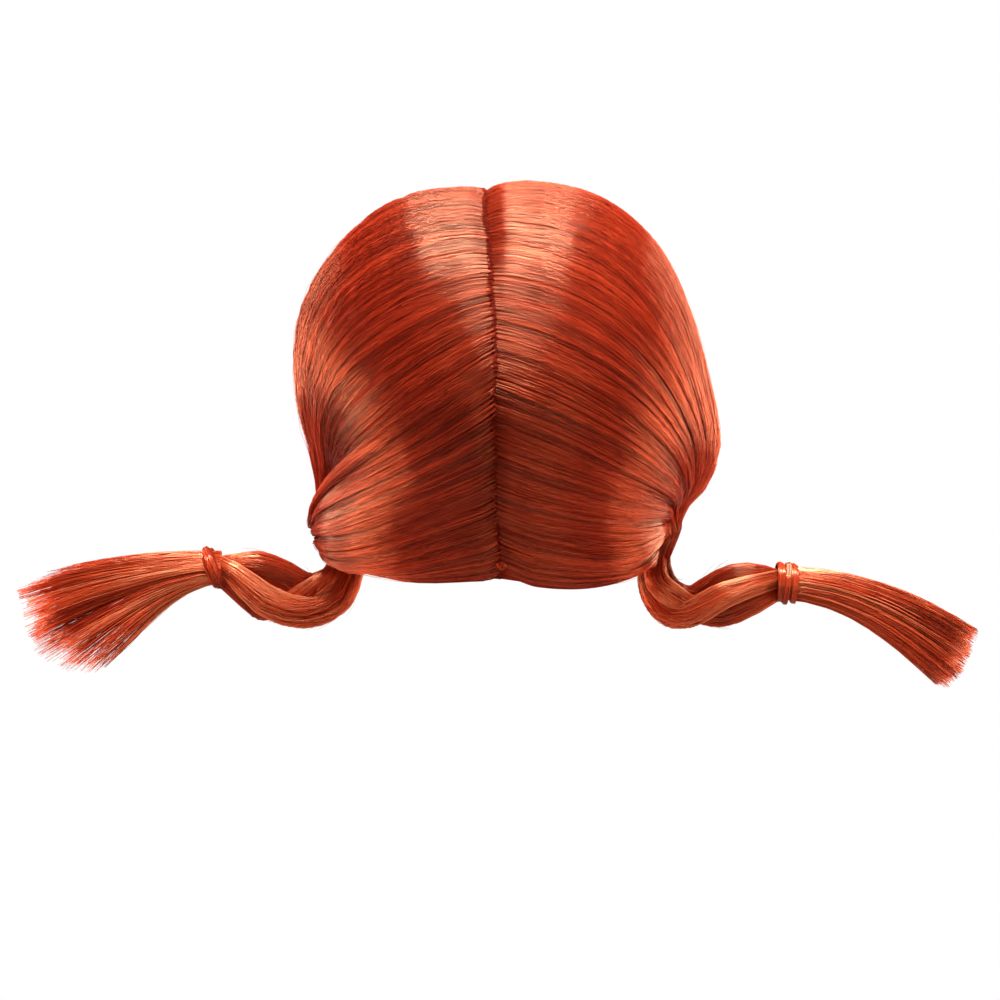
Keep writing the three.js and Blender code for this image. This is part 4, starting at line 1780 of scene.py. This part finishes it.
@dataclass(frozen=True)
class TieSize:
    """Where a plait is tied, the way that it heads there and the size of what ties it."""

    side: Side
    x: float
    y: float
    z: float
    heading: float
    radius: float
    band: float
    thickness: float
    slant: float

    SETBACK = 4  # from the middle of the tie back to the start of the loose end
    ROUND_STEPS = 49  # rows of a ring round the plait
    SECTION_STEPS = 13  # columns round a ring's section

    # The wound locks' fibres
    WOUND_RINGS = 21
    WOUND_WIDTHS = (0.14, 0.26)
    WOUND_TINT = 0.58
    TINT_SPREAD = 0.17
    START_SPREAD = 0.5  # in radians
    CROWN = 0.9  # how much flatter a lock is at its edges
    LAYERS = (0.5, 1)
    TUCK = (0, 0.12)  # shares of a fibre from its ends over which it is tucked in
    END_WIDTH = 0.3
    BAND_SHARE = 0.62
    RIPPLE = 0.25

    @property
    def name(self) -> str:
        """The solid's name."""
        return f"tie_{self.side.label}"

    @property
    def centre(self) -> Array:
        """The middle of the tie."""
        return np.array([self.x, self.y, self.z], float)

    @property
    def ahead(self) -> Array:
        """The way that the plait heads through the tie."""
        turn = math.radians(self.heading)
        return np.array([self.side.value * math.cos(turn), 0, math.sin(turn)])

    def axes(self) -> tuple[Array, Array, Array]:
        """Turns the plait's heading by the band's slant.

        Returns:
            The slanted band's own axis, and the up and deep axes across it.
        """
        lean = math.radians(self.slant)
        x, _, z = self.ahead
        axis = np.array([x * math.cos(lean) + z * math.sin(lean), 0, z * math.cos(lean) - x * math.sin(lean)])
        up = unit(np.cross(FORWARD, axis))
        return axis, up, np.cross(axis, up)

    def wound(self, rng: np.random.Generator, fibres: int, winding: Winding, shift: float = 0) -> FibreBundle:
        """Winds a lock of hair round the tied plait.

        Args:
            rng: Source of the fibres' small differences.
            fibres: How many fibres the lock has.
            winding: How it is wound.
            shift: Where its middle lies along the plait, from the middle of the tie.

        Returns:
            The fibres.
        """
        axis, up, deep = self.axes()
        column = (fibres, 1)
        share = np.linspace(0, 1, self.WOUND_RINGS)[None, :]
        turned = 2 * np.pi * blend(winding.first, winding.last, share)
        angle = turned + rng.uniform(-self.START_SPREAD, self.START_SPREAD, column)
        place = rng.uniform(-1, 1, column)
        crown = np.sqrt(1 - self.CROWN * place**2)
        tucked = smoothstep(np.minimum(share, 1 - share), *self.TUCK)
        bulk = self.thickness + winding.bulk
        out = self.radius + bulk * crown * tucked * rng.uniform(*self.LAYERS, column)
        out = out + self.RIPPLE * np.sin(3 * angle + place)
        along = shift + place * self.band * self.BAND_SHARE + winding.climb * (share - 0.5)
        along = along + self.RIPPLE * np.sin(angle + 5 * place)
        outwards = np.cos(angle)[..., None] * up + np.sin(angle)[..., None] * deep
        paths = self.centre + out[..., None] * outwards + along[..., None] * axis
        widths = rng.uniform(*self.WOUND_WIDTHS, column) * blend(self.END_WIDTH, 1, tucked)
        tints = rng.normal(self.WOUND_TINT, self.TINT_SPREAD, fibres)
        return FibreBundle(paths, outwards, widths, np.clip(tints, 0, 1))

    def ring(self, out: float, half_band: float, half_thick: float, shift: float = 0) -> Array:
        """Lays out a closed ring round the tied plait.

        Args:
            out: Radius of the ring's middle line.
            half_band: Half of its width along the plait.
            half_thick: Half of its thickness.
            shift: Its place along the plait from the middle of the tie.

        Returns:
            Rows of points round the plait, with columns round the ring's section.
        """
        axis, up, deep = self.axes()
        angle = np.linspace(0, 2 * np.pi, self.ROUND_STEPS)[:, None, None]
        turn = np.linspace(0, 2 * np.pi, self.SECTION_STEPS)[None, :, None]
        outwards = np.cos(angle) * up + np.sin(angle) * deep
        radial = (out + half_thick * np.cos(turn)) * outwards
        return self.centre + radial + (shift + half_band * np.sin(turn)) * axis


LEFT_TIE = TieSize(Side.LEFT, -134.5, -3, -173, -4, 8, 3, 2, -18)
RIGHT_TIE = TieSize(Side.RIGHT, 133.5, -16.5, -179.5, 0, 8, 2.4, 1.8, 6)


@dataclass
class HairTie:
    """A plait's end bound with a wound lock of its own hair."""

    size: TieSize
    fibres: int = 130
    lock: Winding = Winding(0.1, 1.75, 0.6, 3.2)
    core_lift: float = 0.5
    core_half: float = 0.7

    def build(self, wardrobe: Wardrobe, rng: np.random.Generator) -> None:
        """Builds and dresses the core of the binding and the lock wound on it.

        Args:
            wardrobe: The wig's materials.
            rng: Source of the fibres' small differences.
        """
        size = self.size
        points = size.ring(size.radius + self.core_lift, size.band, self.core_half)
        settle(closed_tube(f"{size.name}_core", points), size.name, Slot.WRAP, wardrobe.bed)
        wound = size.wound(rng, self.fibres, self.lock)
        settle(fibre_piece(f"{size.name}_fibres", [wound]), size.name, Slot.WRAP, wardrobe.fibre)


@dataclass
class ElasticTie:
    """A plait's end bound with two turns of thin elastic, nearly hidden by hair."""

    size: TieSize
    cord: float = 0.6
    shifts: tuple[float, ...] = (-0.6, 0.6)
    fibres: int = 70
    over: Winding = Winding(0.68, 1.5, 0.5, 0.8)
    beside: Winding = Winding(0.1, 1.4, -0.4, 3.4)
    bulge: float = 3

    def build(self, wardrobe: Wardrobe, rng: np.random.Generator) -> None:
        """Builds and dresses the elastic's turns and the hair wound over them and beside them.

        Args:
            wardrobe: The wig's materials.
            rng: Source of the fibres' small differences.
        """
        size, cord = self.size, self.cord
        name = f"{size.name}_elastic"
        turns = [closed_tube(name, size.ring(size.radius + cord, cord, cord, shift)) for shift in self.shifts]
        bpy.ops.object.select_all(action="DESELECT")
        for turn in turns:
            turn.select_set(True)
        bpy.context.view_layer.objects.active = turns[0]
        bpy.ops.object.join()
        settle(bpy.context.object, size.name, Slot.ELASTIC, wardrobe.elastic)
        bundles = [size.wound(rng, self.fibres, self.over)]
        for shift in (-self.bulge, self.bulge):
            bundles.append(size.wound(rng, self.fibres, self.beside, shift))
        settle(fibre_piece(f"{size.name}_fibres", bundles), size.name, Slot.ELASTIC, wardrobe.fibre)


@dataclass
class Tuft:
    """The loose end past a tie: fibres in small locks that fan out and bow."""

    tie: TieSize
    rows: tuple[TuftRow, ...]
    bow: float
    ragged: float
    gather: float
    fibres: int = 1300
    locks: int = 60
    rings: int = 9
    fibre_widths: Span = (0.12, 0.23)
    neck: float = 7.3
    depth: float = 8
    swell: float = 1.12
    tint: float = 0.93
    lock_tint: float = 0.25
    fibre_tint: float = 0.15
    tip_shade: float = 0.4

    # Places across the fan
    LOCK_PLACES = (0.1, 0.9)  # where a lock's middle lies in its even share of the fan
    FAN_SPREAD = 0.05
    DEEP_SPREAD = 0.3
    NECK_ROUNDING = 0.75
    LEAST_ROOM = 0.1

    # Shares of a fibre's length
    FIBRE_RAGGED = 0.6
    LEAVE_SHARE = 0.34
    ARRIVE_SHARE = 0.68
    SHADE_RISE = (0.25, 1)
    TAPER_RISE = (0.6, 1)
    TIP_WIDTH = 0.55

    RING_SLIDE = (-0.5, 0.5)  # how far a fibre's rings are out of step
    WAVE = Sway(0.8, 1.3)
    DOWN_WAVE = 0.6  # how much of the wave goes up and down
    RIDGE_LEAN = 0.05

    def fanned(self, rng: np.random.Generator) -> FibreBundle:
        """Fans the fibres out of the tie.

        Args:
            rng: Source of the fibres' small differences.

        Returns:
            The fibres.
        """
        count, column = self.fibres, (self.fibres, 1)
        side, ahead = self.tie.side.value, self.tie.ahead
        down = np.cross(FORWARD, ahead) * side
        start = self.tie.centre - ahead * self.tie.SETBACK
        lock_fan = (np.arange(self.locks) + rng.uniform(*self.LOCK_PLACES, self.locks)) / self.locks
        lock_deep = rng.uniform(-1, 1, self.locks)
        lock = rng.integers(self.locks, size=count)
        fan = np.clip(lock_fan[lock] + rng.normal(0, self.FAN_SPREAD, count), 0, 1)
        aside = np.clip(lock_deep[lock] + rng.normal(0, self.DEEP_SPREAD, count), -1, 1)
        tip_fan = blend(fan, lock_fan[lock], self.gather)
        tip_aside = blend(aside, lock_deep[lock], self.gather)
        steps = tuple(np.linspace(0, 1, len(self.rows)))
        drop, reach = (SmoothTable(steps, column_values).at(tip_fan) for column_values in zip(*self.rows))
        drop = np.radians(drop)
        lock_length = 1 - self.ragged * rng.random(self.locks)
        own_length = 1 - self.FIBRE_RAGGED * self.ragged * rng.random(count) ** 2
        length = (reach * lock_length[lock] * own_length)[:, None]
        chord = np.stack([side * np.cos(drop), np.zeros(count), -np.sin(drop)], axis=-1)
        height = 2 * fan - 1
        room = np.sqrt(np.maximum(1 - self.NECK_ROUNDING * height**2, self.LEAST_ROOM))
        place = height[:, None] * down + (aside * room)[:, None] * FORWARD
        base = start + self.neck * place
        tip = start + chord * length + (self.depth * tip_aside)[:, None] * FORWARD
        leave = base + ahead * (self.LEAVE_SHARE * length) + self.swell * place
        arrive = blend(base, tip, self.ARRIVE_SHARE) + UPWARD * (self.bow * length)
        ring = np.linspace(0, 1, self.rings)[None, :]
        slide = rng.uniform(*self.RING_SLIDE, column) / self.rings * np.sin(np.pi * ring)
        travel = ring + slide
        t = travel[..., None]
        rest = 1 - t
        paths = (
            rest**3 * base[:, None]
            + 3 * rest**2 * t * leave[:, None]
            + 3 * rest * t**2 * arrive[:, None]
            + t**3 * tip[:, None]
        )
        sway = rng.normal(0, self.WAVE.size, column) * wave(self.WAVE.turns * travel + rng.random(column))
        paths = paths + (sway * travel)[..., None] * FORWARD
        paths = paths + (sway * self.DOWN_WAVE * travel)[..., None] * down
        ridges = unit(height[:, None] * down + aside[:, None] * FORWARD + self.RIDGE_LEAN * ahead)
        ridges = np.broadcast_to(ridges[:, None], paths.shape)
        taper = blend(1, self.TIP_WIDTH, smoothstep(travel, *self.TAPER_RISE))
        widths = rng.uniform(*self.fibre_widths, column) * taper
        tints = rng.normal(self.tint, self.lock_tint, self.locks)[lock]
        tints = tints + rng.normal(0, self.fibre_tint, count)
        tints = tints[:, None] - self.tip_shade * smoothstep(travel, *self.SHADE_RISE)
        return FibreBundle(paths, ridges, widths, np.clip(tints, 0, PALEST))

    def build(self, wardrobe: Wardrobe, rng: np.random.Generator) -> None:
        """Builds and dresses the loose end."""
        name = f"tuft_{self.tie.side.label}"
        settle(fibre_piece(f"{name}_fibres", [self.fanned(rng)]), name, Slot.HAIR, wardrobe.fibre)


LEFT_STRANDS = {
    "a": (
        StrandRow(-67.5, 13.5, -154, 3),
        StrandRow(-67.5, 12.5, -164, 3.6),
        StrandRow(-68.5, 7.5, -172, 4.6),
        StrandRow(-70.5, 2, -179.5, 5.4),
        StrandRow(-76, -1.5, -188.5, 6.6),
        StrandRow(-88, -5, -194, 7.6),
        StrandRow(-100, -7, -193, 7.8),
        StrandRow(-112, -8, -187, 7.6),
        StrandRow(-121, -7, -178.5, 6),
        StrandRow(-133, -5, -170.5, 4),
    ),
    "b": (
        StrandRow(-71.5, 17, -154, 3),
        StrandRow(-72, 16.5, -164, 3.6),
        StrandRow(-75, 13, -172, 4.6),
        StrandRow(-80.5, 9.5, -178.5, 5.2),
        StrandRow(-90, 7, -182.5, 6.2),
        StrandRow(-103, 2.5, -176.5, 7),
        StrandRow(-114, 1, -172.5, 7),
        StrandRow(-122, 0, -172, 5.6),
        StrandRow(-133, -0.5, -172, 4),
    ),
    "c": (
        StrandRow(-73.2, 10.9, -154, 3.4),
        StrandRow(-73.4, 10.6, -164, 3.6),
        StrandRow(-76.5, 5, -171.5, 4.6),
        StrandRow(-80, 0.5, -178, 5),
        StrandRow(-88, -3, -183.5, 5.6),
        StrandRow(-98, 1.5, -190, 6),
        StrandRow(-111, 3, -192.5, 6.6),
        StrandRow(-120, 1.5, -186, 5.8),
        StrandRow(-133, -2, -176, 4),
    ),
}
RIGHT_STRANDS = {
    "a": (
        StrandRow(71, -15.5, -152, 3),
        StrandRow(70.5, -15.5, -163, 3.6),
        StrandRow(68.8, -16, -173, 4.8),
        StrandRow(71, -17, -184, 6),
        StrandRow(78.5, -20.5, -193, 6.8),
        StrandRow(88, -24, -193, 6.8),
        StrandRow(98, -25, -187.5, 6.6),
        StrandRow(108, -24, -183, 5.8),
        StrandRow(131, -18, -177, 4),
    ),
    "b": (
        StrandRow(75.5, -14.5, -152, 2.8),
        StrandRow(75.8, -14.5, -163, 3.4),
        StrandRow(75.5, -14.5, -174, 4.6),
        StrandRow(80, -13.5, -183, 5.4),
        StrandRow(89, -13, -187, 6),
        StrandRow(98.5, -15, -182, 6.4),
        StrandRow(108, -16, -177, 6.4),
        StrandRow(118, -16, -175.5, 5.4),
        StrandRow(131, -15.5, -178, 4),
    ),
    "c": (
        StrandRow(74.2, -20.6, -152, 3.4),
        StrandRow(74.2, -20.7, -162, 3.6),
        StrandRow(72, -23, -172.5, 5),
        StrandRow(73.5, -25, -179.5, 5.8),
        StrandRow(81, -24.5, -185.5, 5.8),
        StrandRow(90, -17, -191.5, 5.8),
        StrandRow(102, -14, -194, 6.4),
        StrandRow(113, -15, -191, 6),
        StrandRow(131, -16.5, -182.5, 4),
    ),
}
LEFT_TUFT = (
    TuftRow(-4, 52),
    TuftRow(4, 92),
    TuftRow(9, 96.5),
    TuftRow(16, 98),
    TuftRow(23, 97),
    TuftRow(31, 91),
    TuftRow(41, 78),
)
RIGHT_TUFT = (
    TuftRow(13, 96),
    TuftRow(16, 96),
    TuftRow(19.5, 96),
    TuftRow(23, 95.5),
    TuftRow(26.5, 95),
    TuftRow(29.5, 94),
    TuftRow(32.5, 92),
)


@dataclass
class Plait:
    """A side's plait: three strands, what ties them and the loose end."""

    side: Side
    strands: dict[str, tuple[StrandRow, ...]]
    tie: HairTie | ElasticTie
    tuft: Tuft

    def build(self, wardrobe: Wardrobe, rng: np.random.Generator) -> None:
        """Builds the strands, the tie and the loose end.

        Args:
            wardrobe: The wig's materials.
            rng: Source of the fibres' small differences.
        """
        plait = tuple(self.strands.values())
        for letter, rows in self.strands.items():
            Strand(f"plait_{self.side.label}_strand_{letter}", rows, plait).build(wardrobe, rng)
        self.tie.build(wardrobe, rng)
        self.tuft.build(wardrobe, rng)


class SoftBox(NamedTuple):
    """A rectangular studio light: its place, size, power in watts and tint."""

    place: tuple[float, float, float]
    width: float
    height: float
    power: float
    tint: Colour


@dataclass
class Studio:
    """A pale floor, soft lights and the camera at the photograph's view."""

    aim: Vector = Vector((0, 0, -0.1415))
    distance: float = 1.6
    elevation: float = 2
    field: float = 0.47
    floor_level: float = -0.42
    floor_size: float = 60
    ambient: float = 0.04
    boxes: tuple[SoftBox, ...] = (
        SoftBox((0.0, -0.34, 1.2), 1.0, 0.4, 64, (1, 1, 1)),
        SoftBox((-1.15, 0.65, 0.1), 0.8, 1.2, 18, (1, 0.74, 0.58)),
        SoftBox((1.15, 0.65, 0.1), 0.8, 1.2, 22, (1, 0.76, 0.6)),
        SoftBox((-0.78, -0.06, -0.36), 0.45, 0.45, 11, (1, 0.42, 0.26)),
        SoftBox((0.78, -0.06, -0.36), 0.45, 0.45, 7, (1, 0.42, 0.26)),
        SoftBox((0.35, -1.3, -0.4), 1.4, 0.5, 10, (1, 0.58, 0.42)),
    )

    @staticmethod
    def facing(way: Vector) -> Euler:
        """Turns a camera or a light to face a way."""
        return way.to_track_quat("-Z", "Y").to_euler()

    def build_camera(self) -> None:
        """Sets the camera at the photograph's angle, with its field at the wig's middle plane."""
        tilt = math.radians(self.elevation)
        back = Vector((0, -math.cos(tilt), math.sin(tilt)))
        bpy.ops.object.camera_add(location=self.aim + back * self.distance)
        camera = bpy.context.object
        camera.rotation_euler = self.facing(-back)
        camera.data.lens = camera.data.sensor_width * self.distance / self.field
        bpy.context.scene.camera = camera

    def build_lights(self) -> None:
        """Adds the soft boxes, each aimed at the wig."""
        for box in self.boxes:
            bpy.ops.object.light_add(type="AREA", location=box.place)
            light = bpy.context.object
            light.rotation_euler = self.facing(self.aim - Vector(box.place))
            light.data.shape = "RECTANGLE"
            light.data.size = box.width
            light.data.size_y = box.height
            light.data.energy = box.power
            light.data.color = box.tint

    def build_floor(self) -> None:
        """Adds the floor."""
        bpy.ops.mesh.primitive_plane_add(size=self.floor_size, location=(0, 0, self.floor_level))
        floor = bpy.context.object
        floor.name = "studio_floor"
        floor.data.materials.append(FloorFinish().material())

    def build_world(self) -> None:
        """Adds a world that looks white and lights the wig more dimly."""
        shader = Shader(bpy.data.worlds.new("studio_world"))
        seen = shader.node("ShaderNodeLightPath", output="Is Camera Ray")
        levels = {"Value": seen, "To Min": self.ambient, "To Max": 1}
        power = shader.node("ShaderNodeMapRange", sockets=levels, output="Result")
        backdrop = shader.node("ShaderNodeBackground", sockets={"Color": (1, 1, 1, 1), "Strength": power})
        shader.node("ShaderNodeOutputWorld", sockets={"Surface": backdrop})
        scene = bpy.context.scene
        scene.world = shader.owner
        scene.view_settings.view_transform = "Standard"

    def build(self) -> None:
        """Builds the camera, the lights and what is round the wig."""
        bpy.ops.object.select_all(action="DESELECT")
        self.build_camera()
        self.build_lights()
        self.build_floor()
        self.build_world()


def main() -> None:
    """Builds the studio and the wig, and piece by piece."""
    logging.basicConfig(level=logging.INFO, format="%(message)s")
    rng = np.random.default_rng(SEED)
    Studio().build()
    wardrobe = Wardrobe.fitted()
    left_tuft = Tuft(LEFT_TIE, LEFT_TUFT, bow=0.05, ragged=0.12, gather=0.5)
    right_tuft = Tuft(RIGHT_TIE, RIGHT_TUFT, bow=0.1, ragged=0.05, gather=0.2)
    assemblies = (
        PartingSeam(),
        CombedHair(LEFT_FLOW, Swath.FRONT, fibres=1880, tint=0.29),
        CombedHair(LEFT_FLOW, Swath.BACK, fibres=1000, tint=0.31),
        # The front right swath is tinted lighter than the others as a painted highlight along the right side.
        CombedHair(RIGHT_FLOW, Swath.FRONT, fibres=1040, tint=0.55),
        CombedHair(RIGHT_FLOW, Swath.BACK, fibres=1880, tint=0.42),
        Plait(Side.LEFT, LEFT_STRANDS, HairTie(LEFT_TIE), left_tuft),
        Plait(Side.RIGHT, RIGHT_STRANDS, ElasticTie(RIGHT_TIE), right_tuft),
    )
    for assembly in assemblies:
        assembly.build(wardrobe, rng)


if __name__ == "__main__":
    main()
